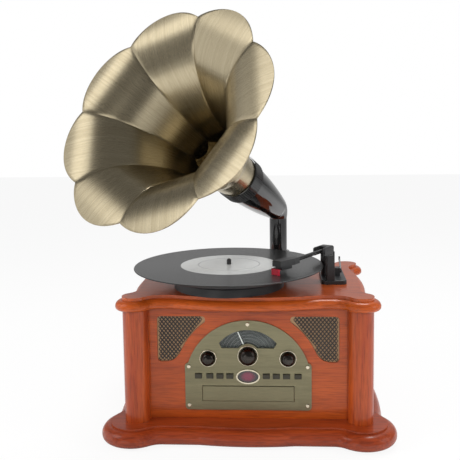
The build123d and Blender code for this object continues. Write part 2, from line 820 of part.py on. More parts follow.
# Platter: a rimmed disc with a hub, the drive ring under it and the spindle
mat_z = record_z - mat_t
platter_low = mat_z - platter_h
belt_z = turret_z + 4.0
with BuildPart() as platter:
    with BuildSketch(Plane(origin=(table_x, table_y, 0), x_dir=(1, 0, 0), z_dir=(0, -1, 0))):
        with BuildLine():
            Polyline(
                (0, mat_z), (platter_r - 1.5, mat_z), (platter_r, mat_z - 1.5), (platter_r, platter_low + 1.5),
                (platter_r - 1, platter_low), (platter_r - platter_t, platter_low),
                (platter_r - platter_t, mat_z - platter_t), (belt_ring_r, mat_z - platter_t),
                (belt_ring_r, belt_z - 1), (belt_ring_r - belt_ring_t, belt_z - 1),
                (belt_ring_r - belt_ring_t, mat_z - platter_t), (boss_r, mat_z - platter_t),
                (boss_r, turret_z + boss_h + running_gap), (spindle_r, turret_z + boss_h + running_gap),
                (spindle_r, turret_z - turret_wall), (0, turret_z - turret_wall), (0, mat_z),
            )
        make_face()
    revolve(axis=Axis((table_x, table_y, 0), (0, 0, 1)))
    with BuildSketch(Plane.XY.offset(mat_z)):
        with Locations((table_x, table_y)):
            Circle(spindle_r)
    extrude(amount=spindle_top - mat_z)
    fillet(platter.faces().sort_by(Axis.Z)[-1].edges(), spindle_r - 0.4)
platter.part.label = "platter"
export_step(platter.part, "parts/platter.step")

with BuildPart() as slip_mat:
    with BuildSketch(Plane.XY.offset(mat_z)):
        with Locations((table_x, table_y)):
            Circle(mat_r)
            Circle(spindle_r + seat_gap, mode=Mode.SUBTRACT)
    extrude(amount=mat_t)
slip_mat.part.label = "slip_mat"
export_step(slip_mat.part, "parts/slip_mat.step")

# Record: a thick label area, a rounded rim with a lead-in bead
with BuildPart() as record:
    with BuildSketch(Plane(origin=(table_x, table_y, record_z), x_dir=(1, 0, 0), z_dir=(0, -1, 0))):
        with BuildLine():
            hole = spindle_r + seat_gap
            Polyline(
                (record_r - 0.5, 0), (hole, 0), (hole, record_t + 0.3), (label_r, record_t + 0.3),
                (label_r + 1, record_t), (record_r - 3.5, record_t), (record_r - 2, record_t + 0.15),
                (record_r - 0.5, record_t),
            )
            ThreePointArc((record_r - 0.5, record_t), (record_r, record_t / 2), (record_r - 0.5, 0))
        make_face()
    revolve(axis=Axis((table_x, table_y, record_z), (0, 0, 1)))
record.part.label = "record"
export_step(record.part, "parts/record.step")

with BuildPart() as motor_pulley:
    with BuildSketch(Plane(origin=(motor_x, motor_y, 0), x_dir=(1, 0, 0), z_dir=(0, -1, 0))):
        with BuildLine():
            low = turret_z + running_gap
            Polyline(
                (0, low - turret_wall - 3), (motor_shaft_r, low - turret_wall - 3), (motor_shaft_r, low),
                (pulley_r + 1, low), (pulley_r + 1, belt_z - 1), (pulley_r, belt_z - 0.5),
                (pulley_r, belt_z + belt_w + 0.5), (pulley_r + 1, belt_z + belt_w + 1),
                (pulley_r + 1, belt_z + belt_w + 1.6), (0, belt_z + belt_w + 1.6), (0, low - turret_wall - 3),
            )
        make_face()
    revolve(axis=Axis((motor_x, motor_y, 0), (0, 0, 1)))
motor_pulley.part.label = "motor_pulley"
export_step(motor_pulley.part, "parts/motor_pulley.step")

# Drive belt: the band round the drive ring and the pulley
with BuildPart() as drive_belt:
    with BuildSketch(Plane.XY.offset(belt_z)):
        with Locations((table_x, table_y)):
            Circle(belt_ring_r + running_gap + belt_t)
        with Locations((motor_x, motor_y)):
            Circle(pulley_r + running_gap + belt_t)
        make_hull()
        offset(amount=-belt_t, mode=Mode.SUBTRACT)
    extrude(amount=belt_w)
drive_belt.part.label = "drive_belt"
export_step(drive_belt.part, "parts/drive_belt.step")

# Tonearm base: a plate on the deck with the bearing tower, the arm's rest and the lever's block
arm_deck = deck_z + arm_base_h
tower_top = arm_deck + tower_h
rest_x = arm_x + 3.0
with BuildPart() as tonearm_base:
    with BuildSketch(Plane.XY.offset(deck_z)):
        with Locations((arm_x + arm_base_shift, arm_y)):
            RectangleRounded(2 * arm_base_x, 2 * arm_base_y, 7)
    extrude(amount=arm_base_h)
    fillet(tonearm_base.faces().sort_by(Axis.Z)[-1].edges(), 1.5)
    with BuildSketch(Plane.XY.offset(arm_deck)):
        with Locations((arm_x, arm_y)):
            Circle(tower_r + 2)
    extrude(amount=tower_h, taper=5)
    with BuildSketch(Plane.XY.offset(arm_deck)):
        with Locations((arm_x, arm_y)):
            Circle(shaft_r + bearing_gap)
    extrude(amount=tower_h, mode=Mode.SUBTRACT)
    with BuildSketch(Plane.XY.offset(arm_deck)):
        with Locations((rest_x, rest_y)):
            RectangleRounded(rest_w, rest_d, 2)
    extrude(amount=arm_z - arm_r - running_gap - arm_deck)
    with BuildSketch(Plane.XY.offset(arm_deck)):
        with Locations((rest_x + rest_w / 2 - 1, rest_y)):
            Rectangle(2, rest_d)
    extrude(amount=arm_z + arm_r - arm_deck)
    with BuildSketch(Plane.XY.offset(arm_deck)):
        with Locations((lever_x - 6, lever_y)):
            Rectangle(8, 14)
    extrude(amount=lever_z + 5 - arm_deck)
    with BuildSketch(Plane(origin=(lever_x - 2, lever_y, lever_z), x_dir=(0, 1, 0), z_dir=(1, 0, 0))):
        Circle(lift_pin_r + bearing_gap)
    extrude(amount=-6, mode=Mode.SUBTRACT)
tonearm_base.part.label = "tonearm_base"
export_step(tonearm_base.part, "parts/tonearm_base.step")

with BuildPart() as cue_lever:
    with BuildSketch(Plane(origin=(lever_x - 2 + running_gap, lever_y, lever_z), x_dir=(0, 1, 0), z_dir=(1, 0, 0))):
        Circle(4)
        with Locations(Location((0, 0), 30)):
            with Locations((lever_l / 2, 0)):
                Rectangle(lever_l, 4.5)
            with Locations((lever_l, 0)):
                Circle(3.4)
    extrude(amount=lever_w)
    with BuildSketch(Plane(origin=(lever_x - 2 + running_gap, lever_y, lever_z), x_dir=(0, 1, 0), z_dir=(1, 0, 0))):
        Circle(lift_pin_r)
    extrude(amount=-5)
cue_lever.part.label = "cue_lever"
export_step(cue_lever.part, "parts/cue_lever.step")

# The arm lies on the record: its own planes have X towards the headshell
arm_dir = Vector(-sin(radians(arm_turn)), -cos(radians(arm_turn)), 0)
arm_side = Vector(cos(radians(arm_turn)), -sin(radians(arm_turn)), 0)


def arm_plane(along, z):
    """Level plane on the arm's line, at a distance from the pivot, X towards the headshell."""
    place = Vector(arm_x, arm_y, z) + arm_dir * along
    return Plane(origin=place, x_dir=arm_dir, z_dir=(0, 0, 1))


yoke_low = tower_top + running_gap
gimbal_w = yoke_w - 2 * cheek_t - 2 * running_gap
with BuildPart() as tonearm_yoke:
    with BuildSketch(Plane.XY.offset(yoke_low)):
        with Locations((arm_x, arm_y)):
            Circle(collar_r)
    extrude(amount=arm_z - yoke_h / 2 - yoke_low)
    with BuildSketch(Plane.XY.offset(yoke_low - tower_h + 3)):
        with Locations((arm_x, arm_y)):
            Circle(shaft_r)
    extrude(amount=tower_h - 3)
    with BuildSketch(arm_plane(yoke_forward, arm_z - yoke_h / 2)):
        RectangleRounded(yoke_l, yoke_w, 3)
    extrude(amount=yoke_h)
    chamfer(tonearm_yoke.faces().sort_by(Axis.Z)[-1].edges(), 2)
    with BuildSketch(arm_plane(yoke_forward + cheek_t, arm_z - yoke_h / 2 + 2)):
        Rectangle(yoke_l, yoke_w - 2 * cheek_t)
    extrude(amount=yoke_h - 4, mode=Mode.SUBTRACT)
    with BuildSketch(arm_plane(yoke_forward + yoke_l / 2, arm_z - yoke_h / 2 - 1)):
        Rectangle(yoke_l, yoke_w - 2 * cheek_t)
    extrude(amount=yoke_h + 2, mode=Mode.SUBTRACT)
tonearm_yoke.part.label = "tonearm_yoke"
export_step(tonearm_yoke.part, "parts/tonearm_yoke.step")

with BuildPart() as arm_tube:
    with BuildSketch(Plane(origin=Vector(arm_x, arm_y, arm_z), x_dir=arm_side, z_dir=arm_dir)):
        Circle(arm_r)
    extrude(amount=arm_l)
    with BuildSketch(arm_plane(yoke_forward / 2, arm_z - arm_r)):
        Rectangle(12, gimbal_w)
    extrude(amount=2 * arm_r)
arm_tube.part.label = "arm_tube"
export_step(arm_tube.part, "parts/arm_tube.step")

# Headshell: turned a little inwards from the arm's line, with the cartridge under it
head_angle = radians(arm_turn + head_turn)
head_dir = Vector(-sin(head_angle), -cos(head_angle), 0)
head_root = Vector(arm_x, arm_y, arm_z) + arm_dir * arm_l
record_top = record_z + record_t
with BuildPart() as headshell:
    with BuildSketch(Plane(origin=head_root - Vector(0, 0, head_h / 2), x_dir=head_dir, z_dir=(0, 0, 1))):
        with BuildLine():
            Polyline(
                (-head_sleeve, -arm_r - 2), (8, -head_w / 2), (head_l, -head_w / 2), (head_l, head_w / 2),
                (8, head_w / 2), (-head_sleeve, arm_r + 2), (-head_sleeve, -arm_r - 2),
            )
        make_face()
    extrude(amount=head_h)
    chamfer(headshell.faces().sort_by(Axis.Z)[-1].edges(), 1.0)
    with BuildSketch(Plane(origin=head_root + head_dir * (head_l - 16) - Vector(0, 0, head_h / 2 + 5),
                           x_dir=head_dir, z_dir=(0, 0, 1))):
        Rectangle(22, head_w - 4)
    extrude(amount=5)
    with BuildSketch(Plane(origin=head_root, x_dir=arm_side, z_dir=arm_dir)):
        Circle(arm_r + seat_gap)
    extrude(amount=-3 * head_sleeve, mode=Mode.SUBTRACT)
headshell.part.label = "headshell"
export_step(headshell.part, "parts/headshell.step")

guard_low = record_top + running_gap
with BuildPart() as stylus_guard:
    with BuildSketch(Plane(origin=head_root + head_dir * (head_l + guard_t / 2) + Vector(0, 0, guard_low - arm_z),
                           x_dir=head_dir, z_dir=(0, 0, 1))):
        Rectangle(guard_t, guard_w)
    extrude(amount=guard_h)
    fillet(stylus_guard.edges().filter_by(Axis.Z), 1.2)
stylus_guard.part.label = "stylus_guard"
export_step(stylus_guard.part, "parts/stylus_guard.step")

# Horn socket: a flanged cup screwed to the deck, with a thumb screw
with BuildPart() as horn_socket:
    with BuildSketch(Plane.XY.offset(deck_z)):
        with Locations((horn_x, horn_y)):
            Circle(socket_flange_r)
    extrude(amount=socket_flange_h)
    with BuildSketch(Plane.XY.offset(deck_z + socket_flange_h)):
        with Locations((horn_x, horn_y)):
            Circle(socket_r)
    extrude(amount=socket_h - socket_flange_h)
    with BuildSketch(Plane(origin=(horn_x + socket_r - 1, horn_y, deck_z + socket_h - thumb_screw_r - 3),
                           x_dir=(0, 1, 0), z_dir=(1, 0, 0))):
        Circle(thumb_screw_r)
    extrude(amount=thumb_screw_l + 1)
    with BuildSketch(Plane.XY.offset(tube_low - running_gap)):
        with Locations((horn_x, horn_y)):
            Circle(tube_r + running_gap)
    extrude(amount=socket_h, mode=Mode.SUBTRACT)
horn_socket.part.label = "horn_socket"
export_step(horn_socket.part, "parts/horn_socket.step")

# The horn's axis runs from the bend out through the mouth
rise = radians(horn_rise)
azimuth = radians(horn_azimuth)
horn_dir = Vector(-sin(azimuth) * cos(rise), -cos(azimuth) * cos(rise), sin(rise))
bend_point = Vector(horn_x, horn_y, horn_bend_z)
mouth = bend_point + horn_dir * horn_l
horn_a = horn_dir.cross(Vector(0, 0, 1)).normalized()
bend_angle = pi / 2 - rise
bend_reach = bend_r * tan(bend_angle / 2)
toward = Vector(-sin(azimuth), -cos(azimuth), 0)
bend_centre = Vector(horn_x, horn_y, horn_bend_z - bend_reach) + toward * bend_r


def mouth_plane(depth):
    """Plane square to the horn's axis, at a depth behind the mouth."""
    return Plane(origin=mouth - horn_dir * depth, x_dir=horn_a, z_dir=horn_dir)


def bend_plane(share):
    """Plane square to the bend's line, from 0 at the tube to 1 at the cone."""
    turn = bend_angle * share
    out = toward * -cos(turn) + Vector(0, 0, 1) * sin(turn)
    along = Vector(0, 0, 1) * cos(turn) + toward * sin(turn)
    return Plane(origin=bend_centre + out * bend_r, x_dir=out, z_dir=along)


def side_plane(radial):
    """Plane through the horn's axis: local X is the radius, local Y runs out of the mouth."""
    return Plane(origin=mouth, x_dir=radial, z_dir=radial.cross(horn_dir))


# Elbow: a tube, a bend that widens and a cone, of one hollow casting
bend_steps = 3
bend_s = horn_l - bend_reach
with BuildPart() as horn_elbow:
    for wall in (0.0, tube_wall):
        way = Mode.SUBTRACT if wall else Mode.ADD
        with BuildSketch(Plane.XY.offset(tube_low)):
            with Locations((horn_x, horn_y)):
                Circle(tube_r - wall)
        extrude(amount=horn_bend_z - bend_reach - tube_low, mode=way)
        for step in range(bend_steps + 1):
            share = step / bend_steps
            with BuildSketch(bend_plane(share)):
                Circle(tube_r + (bend_out_r - tube_r) * share - wall)
        loft(mode=way)
        with BuildSketch(side_plane(horn_a)):
            with BuildLine():
                Spline((bend_out_r - wall, -bend_s), (cone_mid_r - wall, -cone_mid_s), (joint_r - wall, -joint_s))
                Polyline(
                    (joint_r - wall, -joint_s), (0, -joint_s), (0, -bend_s), (bend_out_r - wall, -bend_s),
                )
            make_face()
        revolve(axis=Axis(mouth, horn_dir), mode=way)
horn_elbow.part.label = "horn_elbow"
export_step(horn_elbow.part, "parts/horn_elbow.step")

with BuildPart() as horn_collar:
    with BuildSketch(mouth_plane(collar_back_s)):
        Circle(joint_r + seat_gap + collar_t)
        Circle(joint_r + seat_gap, mode=Mode.SUBTRACT)
    extrude(amount=collar_back_s - collar_front_s)
    chamfer(horn_collar.edges().filter_by(GeomType.CIRCLE).group_by(SortBy.RADIUS)[-1], 0.8)
horn_collar.part.label = "horn_collar"
export_step(horn_collar.part, "parts/horn_collar.step")

# Neck ring: eight flats run out into a round cone, which leaves a lobe under each petal
horn_b = horn_a.cross(horn_dir)
half_turn = pi / petal_count
seam_turn = radians(petal_seam_turn)


def radial_at(turn):
    """Direction square to the horn's axis, at an angle round it."""
    return horn_a * cos(turn) + horn_b * sin(turn)


neck_flat_r = petal_line[0][1]
with BuildPart() as horn_neck:
    for wall in (sheet_t, 0.0):
        way = Mode.ADD if wall else Mode.SUBTRACT
        with BuildPart(mode=Mode.PRIVATE) as flats:
            for depth, flat in ((neck_s, neck_flat_r), (joint_s, joint_r + 3)):
                with BuildSketch(Plane(origin=mouth - horn_dir * depth, x_dir=radial_at(seam_turn), z_dir=horn_dir)):
                    RegularPolygon(flat + wall, petal_count, major_radius=False)
            loft(ruled=True)
        with BuildPart(mode=Mode.PRIVATE) as cone:
            inner = joint_r - sheet_t + wall
            with BuildSketch(side_plane(horn_a)):
                with BuildLine():
                    Polyline(
                        (0, -neck_s), (neck_flat_r + 5 + wall, -neck_s), (neck_flute_r - sheet_t + wall, -neck_flute_s),
                        (inner, -collar_front_s), (inner, -joint_s), (0, -joint_s), (0, -neck_s),
                    )
                make_face()
            revolve(axis=Axis(mouth, horn_dir))
        add(flats.part & cone.part, mode=way)
horn_neck.part.label = "horn_neck"
export_step(horn_neck.part, "parts/horn_neck.step")


def beside(points, distance):
    """The same line, moved sideways by a distance."""
    moved = []
    for index, point in enumerate(points):
        before = points[max(index - 1, 0)]
        after = points[min(index + 1, len(points) - 1)]
        across = Vector(after[1] - before[1], before[0] - after[0], 0).normalized() * distance
        moved.append((point[0] + across.X, point[1] + across.Y))
    return moved


# Petals: panels of sheet that bend one way only, mitred to their neighbours along the seams
middle = [(radius, -depth) for depth, radius in petal_line]
back = beside(middle, sheet_t)
wedge_r = 250.0
for number in range(petal_count):
    radial = radial_at(seam_turn + (2 * number + 1) * half_turn)
    name = f"horn_petal_{number + 1}"
    with BuildPart() as petal:
        with BuildSketch(side_plane(radial)):
            with BuildLine():
                Spline(*middle)
                Line(middle[-1], back[-1])
                Spline(*back)
                Line(back[0], middle[0])
            make_face()
        extrude(amount=wedge_r / 3, both=True)
        with BuildSketch(Plane(origin=mouth - horn_dir * neck_s, x_dir=radial, z_dir=horn_dir)):
            with BuildLine():
                Polyline(
                    (0, 0), (wedge_r, -wedge_r * tan(half_turn)), (wedge_r, wedge_r * tan(half_turn)), (0, 0),
                )
            make_face()
            with Locations((petal_edge_centre, 0)):
                Circle(petal_edge_r, mode=Mode.INTERSECT)
        extrude(amount=neck_s + 20, mode=Mode.INTERSECT)
    petal.part.label = name
    export_step(petal.part, f"parts/{name}.step")
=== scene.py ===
# A table-top record player: a mahogany cabinet, a petalled brass horn on a black elbow,
# a turntable with a 12-inch record, and a brass fascia with a radio dial and a disc tray.
from math import acos, cos, pi, radians, sin, sqrt, tan

import bmesh
import bpy
import numpy as np
from mathutils import Matrix, Vector


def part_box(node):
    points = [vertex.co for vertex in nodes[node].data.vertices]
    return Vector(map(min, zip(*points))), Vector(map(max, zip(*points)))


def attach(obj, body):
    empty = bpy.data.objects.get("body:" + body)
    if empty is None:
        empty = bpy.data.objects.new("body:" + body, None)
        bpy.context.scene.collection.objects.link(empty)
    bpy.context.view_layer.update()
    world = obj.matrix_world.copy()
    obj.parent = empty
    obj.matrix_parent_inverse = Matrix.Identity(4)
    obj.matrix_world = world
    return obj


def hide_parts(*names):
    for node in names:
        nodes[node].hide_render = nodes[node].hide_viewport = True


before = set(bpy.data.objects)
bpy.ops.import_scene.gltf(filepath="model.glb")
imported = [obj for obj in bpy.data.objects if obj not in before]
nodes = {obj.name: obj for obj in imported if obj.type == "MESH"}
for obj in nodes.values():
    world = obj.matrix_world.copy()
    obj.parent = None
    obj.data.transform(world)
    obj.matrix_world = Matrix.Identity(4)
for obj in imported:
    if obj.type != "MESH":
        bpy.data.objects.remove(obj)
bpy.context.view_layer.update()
scene = bpy.context.scene
mm = 0.001

# Studio: a pale floor that keeps a soft shadow, a white surround and large soft lamps.
# The camera stands in front, a little to the right, and looks slightly down.
picture_w = 460         # the photograph's width, and the focal length and shifts, in pixels
focal = 640
shift_right = -20
shift_up = -35
camera_data = bpy.data.cameras.new("camera")
camera_data.sensor_width = 36.0
camera_data.lens = camera_data.sensor_width * focal / picture_w
camera_data.shift_x = shift_right / picture_w
camera_data.shift_y = shift_up / picture_w
camera = bpy.data.objects.new("camera", camera_data)
scene.collection.objects.link(camera)
yaw, pitch, roll = radians(-2.93), radians(5.48), radians(-0.60)
ahead = Vector((sin(yaw) * cos(pitch), cos(yaw) * cos(pitch), -sin(pitch)))
across = Vector((cos(yaw), -sin(yaw), 0))
upward = across.cross(ahead)
right = cos(roll) * across + sin(roll) * upward
top = -sin(roll) * across + cos(roll) * upward
camera.matrix_world = Matrix((
    (right.x, top.x, -ahead.x, 54.1 * mm),
    (right.y, top.y, -ahead.y, -1059.4 * mm),
    (right.z, top.z, -ahead.z, 463.2 * mm),
    (0, 0, 0, 1),
))
scene.camera = camera
scene.view_settings.view_transform = "Standard"

world = bpy.data.worlds.new("studio")
scene.world = world
world.use_nodes = True
tree = world.node_tree
tree.nodes.clear()
rays = tree.nodes.new("ShaderNodeLightPath")
plain = tree.nodes.new("ShaderNodeBackground")
plain.inputs["Strength"].default_value = 0.55
white = tree.nodes.new("ShaderNodeBackground")
white.inputs["Color"].default_value = (1, 1, 1, 1)
white.inputs["Strength"].default_value = 1.0
# Metal and varnish see a dim room with soft pale areas: at the upper left, low in front, at the
# right and behind. Each area has its direction, the cosines of its outer and inner edge, and its
# strength.
room_level = 0.16
room = tree.nodes.new("ShaderNodeTexCoord")
room_light = tree.nodes.new("ShaderNodeBackground")
room_light.inputs["Color"].default_value = (1, 1, 1, 1)
areas = [
    ((-0.69, -0.20, 0.69), 0.955, 0.985, 1.9),
    ((-0.99, 0.05, 0.12), 0.80, 0.98, 0.75),
    ((-0.45, -0.88, 0.10), 0.955, 0.995, 1.3),
    ((0.50, -0.86, -0.10), 0.975, 0.995, 1.3),
    ((0.90, -0.20, 0.40), 0.93, 0.98, 1.0),
    ((0.10, 0.95, 0.30), 0.55, 0.95, 0.35),
]
summed = None
for direction, start, full, strength in areas:
    toward = tree.nodes.new("ShaderNodeVectorMath")
    toward.operation = "DOT_PRODUCT"
    toward.inputs[1].default_value = Vector(direction).normalized()
    edge = tree.nodes.new("ShaderNodeMapRange")
    edge.interpolation_type = "SMOOTHSTEP"
    edge.inputs["From Min"].default_value = start
    edge.inputs["From Max"].default_value = full
    edge.inputs["To Max"].default_value = strength
    total = tree.nodes.new("ShaderNodeMath")
    total.operation = "ADD"
    total.inputs[1].default_value = room_level
    tree.links.new(room.outputs["Generated"], toward.inputs[0])
    tree.links.new(toward.outputs["Value"], edge.inputs["Value"])
    tree.links.new(edge.outputs["Result"], total.inputs[0])
    if summed is not None:
        tree.links.new(summed, total.inputs[1])
    summed = total.outputs[0]
tree.links.new(summed, room_light.inputs["Strength"])
glossy = tree.nodes.new("ShaderNodeMixShader")
seen = tree.nodes.new("ShaderNodeMath")
seen.operation = "MAXIMUM"
back = tree.nodes.new("ShaderNodeMixShader")
out = tree.nodes.new("ShaderNodeOutputWorld")
tree.links.new(rays.outputs["Is Glossy Ray"], glossy.inputs["Fac"])
tree.links.new(plain.outputs[0], glossy.inputs[1])
tree.links.new(room_light.outputs[0], glossy.inputs[2])
tree.links.new(rays.outputs["Is Camera Ray"], seen.inputs[0])
tree.links.new(rays.outputs["Is Transmission Ray"], seen.inputs[1])
tree.links.new(seen.outputs[0], back.inputs["Fac"])
tree.links.new(glossy.outputs[0], back.inputs[1])
tree.links.new(white.outputs[0], back.inputs[2])
tree.links.new(back.outputs[0], out.inputs["Surface"])

# Only the lamp above is seen in the gloss; the pale areas of the room stand for the others
lamps = [
    ("lamp_over", (0.3, 0.5, 1.7), (0.0, 0.0, 0.3), 0.8, 12.0),
    ("lamp_left", (-1.5, -0.6, 0.9), (-0.1, -0.1, 0.4), 0.9, 16.0),
    ("lamp_right", (1.4, -0.3, 0.8), (0.1, 0.0, 0.35), 0.7, 9.0),
    ("lamp_front", (0.5, -1.9, 1.0), (0.0, 0.0, 0.15), 0.9, 13.0),
]
for name, place, target, size, power in lamps:
    data = bpy.data.lights.new(name, "AREA")
    data.shape = "DISK"
    data.size = size
    data.energy = power
    lamp = bpy.data.objects.new(name, data)
    lamp.location = place
    lamp.visible_glossy = name == "lamp_over"
    lamp.rotation_euler = (Vector(target) - Vector(place)).to_track_quat("-Z", "Y").to_euler()
    scene.collection.objects.link(lamp)

floor_mesh = bpy.data.meshes.new("floor")
floor_mesh.from_pydata([(-4, -4, 0), (4, -4, 0), (4, 6, 0), (-4, 6, 0)], [], [(0, 1, 2, 3)])
floor = bpy.data.objects.new("floor", floor_mesh)
scene.collection.objects.link(floor)
paper = bpy.data.materials.new("floor_paper")
paper.use_nodes = True
tree = paper.node_tree
surface = tree.nodes["Principled BSDF"]
surface.inputs["Base Color"].default_value = (0.86, 0.86, 0.86, 1)
surface.inputs["Roughness"].default_value = 0.6
rays = tree.nodes.new("ShaderNodeLightPath")
glow = tree.nodes.new("ShaderNodeEmission")
share = tree.nodes.new("ShaderNodeMath")
share.operation = "MULTIPLY"
share.inputs[1].default_value = 0.9
blend = tree.nodes.new("ShaderNodeMixShader")
tree.links.new(rays.outputs["Is Camera Ray"], share.inputs[0])
tree.links.new(share.outputs[0], blend.inputs["Fac"])
tree.links.new(surface.outputs[0], blend.inputs[1])
tree.links.new(glow.outputs[0], blend.inputs[2])
tree.links.new(blend.outputs[0], tree.nodes["Material Output"].inputs["Surface"])
floor_mesh.materials.append(paper)


# Cabinet: orange-red mahogany under a gloss varnish. The grain lies level on the boards and
# panels and upright on the corner posts, with darker pores and slow changes of tone.
def new_group(name, sockets_in, sockets_out):
    group = bpy.data.node_groups.new(name, "ShaderNodeTree")
    for label, kind, value in sockets_in:
        socket = group.interface.new_socket(label, in_out="INPUT", socket_type=kind)
        if value is not None:
            socket.default_value = value
    for label, kind in sockets_out:
        group.interface.new_socket(label, in_out="OUTPUT", socket_type=kind)
    return group, group.nodes.new("NodeGroupInput"), group.nodes.new("NodeGroupOutput")


grain, taken, given = new_group(
    "wood_grain",
    [
        ("Place", "NodeSocketVector", None),
        ("Light", "NodeSocketColor", (0.46, 0.082, 0.010, 1)),
        ("Dark", "NodeSocketColor", (0.27, 0.036, 0.006, 1)),
    ],
    [("Color", "NodeSocketColor"), ("Height", "NodeSocketFloat"), ("Roughness", "NodeSocketFloat")],
)
add = grain.nodes.new
tie = grain.links.new
tone = add("ShaderNodeTexNoise")
tone.inputs["Scale"].default_value = 9.0
tone.inputs["Detail"].default_value = 5.0
tone.inputs["Distortion"].default_value = 0.6
figure = add("ShaderNodeTexNoise")
figure.inputs["Scale"].default_value = 170.0
figure.inputs["Detail"].default_value = 6.0
figure.inputs["Roughness"].default_value = 0.65
pores = add("ShaderNodeTexNoise")
pores.inputs["Scale"].default_value = 620.0
pores.inputs["Detail"].default_value = 2.0
pore_cut = add("ShaderNodeMapRange")
pore_cut.inputs["From Min"].default_value = 0.36
pore_cut.inputs["From Max"].default_value = 0.52
mix = add("ShaderNodeMix")
mix.data_type = "RGBA"
strength = add("ShaderNodeMath")
strength.operation = "MULTIPLY_ADD"
strength.inputs[1].default_value = 0.55
half_tone = add("ShaderNodeMath")
half_tone.operation = "MULTIPLY"
half_tone.inputs[1].default_value = 0.55
spread = add("ShaderNodeMapRange")
spread.inputs["From Min"].default_value = 0.40
spread.inputs["From Max"].default_value = 0.66
darken = add("ShaderNodeMix")
darken.data_type = "RGBA"
darken.blend_type = "MULTIPLY"
pore_tone = add("ShaderNodeMapRange")
pore_tone.inputs["To Min"].default_value = 0.74
pore_tone.inputs["To Max"].default_value = 1.0
shade = add("ShaderNodeCombineColor")
polish = add("ShaderNodeMapRange")
polish.inputs["To Min"].default_value = 0.30
polish.inputs["To Max"].default_value = 0.40
for noise in (tone, figure, pores):
    tie(taken.outputs["Place"], noise.inputs["Vector"])
tie(tone.outputs["Fac"], half_tone.inputs[0])
tie(figure.outputs["Fac"], strength.inputs[0])
tie(half_tone.outputs[0], strength.inputs[2])
tie(strength.outputs[0], spread.inputs["Value"])
tie(spread.outputs["Result"], mix.inputs["Factor"])
tie(taken.outputs["Dark"], mix.inputs["A"])
tie(taken.outputs["Light"], mix.inputs["B"])
tie(pores.outputs["Fac"], pore_cut.inputs["Value"])
tie(pore_cut.outputs["Result"], pore_tone.inputs["Value"])
for channel in ("Red", "Green", "Blue"):
    tie(pore_tone.outputs["Result"], shade.inputs[channel])
darken.inputs["Factor"].default_value = 1.0
tie(mix.outputs["Result"], darken.inputs["A"])
tie(shade.outputs["Color"], darken.inputs["B"])
tie(darken.outputs["Result"], given.inputs["Color"])
tie(pore_cut.outputs["Result"], given.inputs["Height"])
tie(figure.outputs["Fac"], polish.inputs["Value"])
tie(polish.outputs["Result"], given.inputs["Roughness"])


def new_material(name, **values):
    material = bpy.data.materials.new(name)
    material.use_nodes = True
    shader = material.node_tree.nodes["Principled BSDF"]
    for label, value in values.items():
        shader.inputs[label.replace("_", " ")].default_value = value
    return material, material.node_tree, shader


def mahogany(name, stretch, light=(0.46, 0.082, 0.010, 1), dark=(0.27, 0.036, 0.006, 1)):
    """Varnished wood with its grain along the axis that has the small stretch."""
    material, tree, shader = new_material(
        name, Specular_IOR_Level=0.3, Coat_Weight=0.4, Coat_Roughness=0.12,
    )
    place = tree.nodes.new("ShaderNodeTexCoord")
    run = tree.nodes.new("ShaderNodeMapping")
    run.inputs["Scale"].default_value = stretch
    group = tree.nodes.new("ShaderNodeGroup")
    group.node_tree = grain
    group.inputs["Light"].default_value = light
    group.inputs["Dark"].default_value = dark
    bump = tree.nodes.new("ShaderNodeBump")
    bump.inputs["Strength"].default_value = 0.15
    bump.inputs["Distance"].default_value = 0.0003
    tree.links.new(place.outputs["Object"], run.inputs["Vector"])
    tree.links.new(run.outputs[0], group.inputs["Place"])
    tree.links.new(group.outputs["Color"], shader.inputs["Base Color"])
    tree.links.new(group.outputs["Roughness"], shader.inputs["Roughness"])
    tree.links.new(group.outputs["Height"], bump.inputs["Height"])
    tree.links.new(bump.outputs[0], shader.inputs["Normal"])
    return material


def dress(name, material):
    """Gives a CAD node its material."""
    for slot in nodes[name].material_slots:
        slot.material = material


level_grain = mahogany("mahogany_level", (0.06, 1.0, 1.0))
upright_grain = mahogany(
    "mahogany_upright", (0.7, 0.7, 0.05), (0.50, 0.095, 0.014, 1), (0.26, 0.030, 0.006, 1),
)
side_grain = mahogany("mahogany_side", (1.0, 0.06, 1.0))
plinth_grain = mahogany(
    "mahogany_plinth", (0.06, 1.0, 1.0), (0.34, 0.052, 0.010, 1), (0.20, 0.025, 0.006, 1),
)
dress("plinth", plinth_grain)
for name in ("front_panel", "back_panel", "top_board"):
    dress(name, level_grain)
for name in ("side_panel_left", "side_panel_right"):
    dress(name, side_grain)
dress("corner_posts", upright_grain)


# Feet, slip mat and drive belt: moulded black rubber, matt, with a slightly rough skin. The feet
# are glued under the plinth's corners, and the mat lies loose on the platter.
rubber, tree, shader = new_material("black_rubber", Base_Color=(0.02, 0.02, 0.02, 1), Roughness=0.75)
speckle = tree.nodes.new("ShaderNodeTexNoise")
speckle.inputs["Scale"].default_value = 900.0
place = tree.nodes.new("ShaderNodeTexCoord")
bump = tree.nodes.new("ShaderNodeBump")
bump.inputs["Strength"].default_value = 0.25
bump.inputs["Distance"].default_value = 0.0003
tree.links.new(place.outputs["Object"], speckle.inputs["Vector"])
tree.links.new(speckle.outputs["Fac"], bump.inputs["Height"])
tree.links.new(bump.outputs[0], shader.inputs["Normal"])
for name in ("rubber_feet", "slip_mat", "drive_belt"):
    dress(name, rubber)


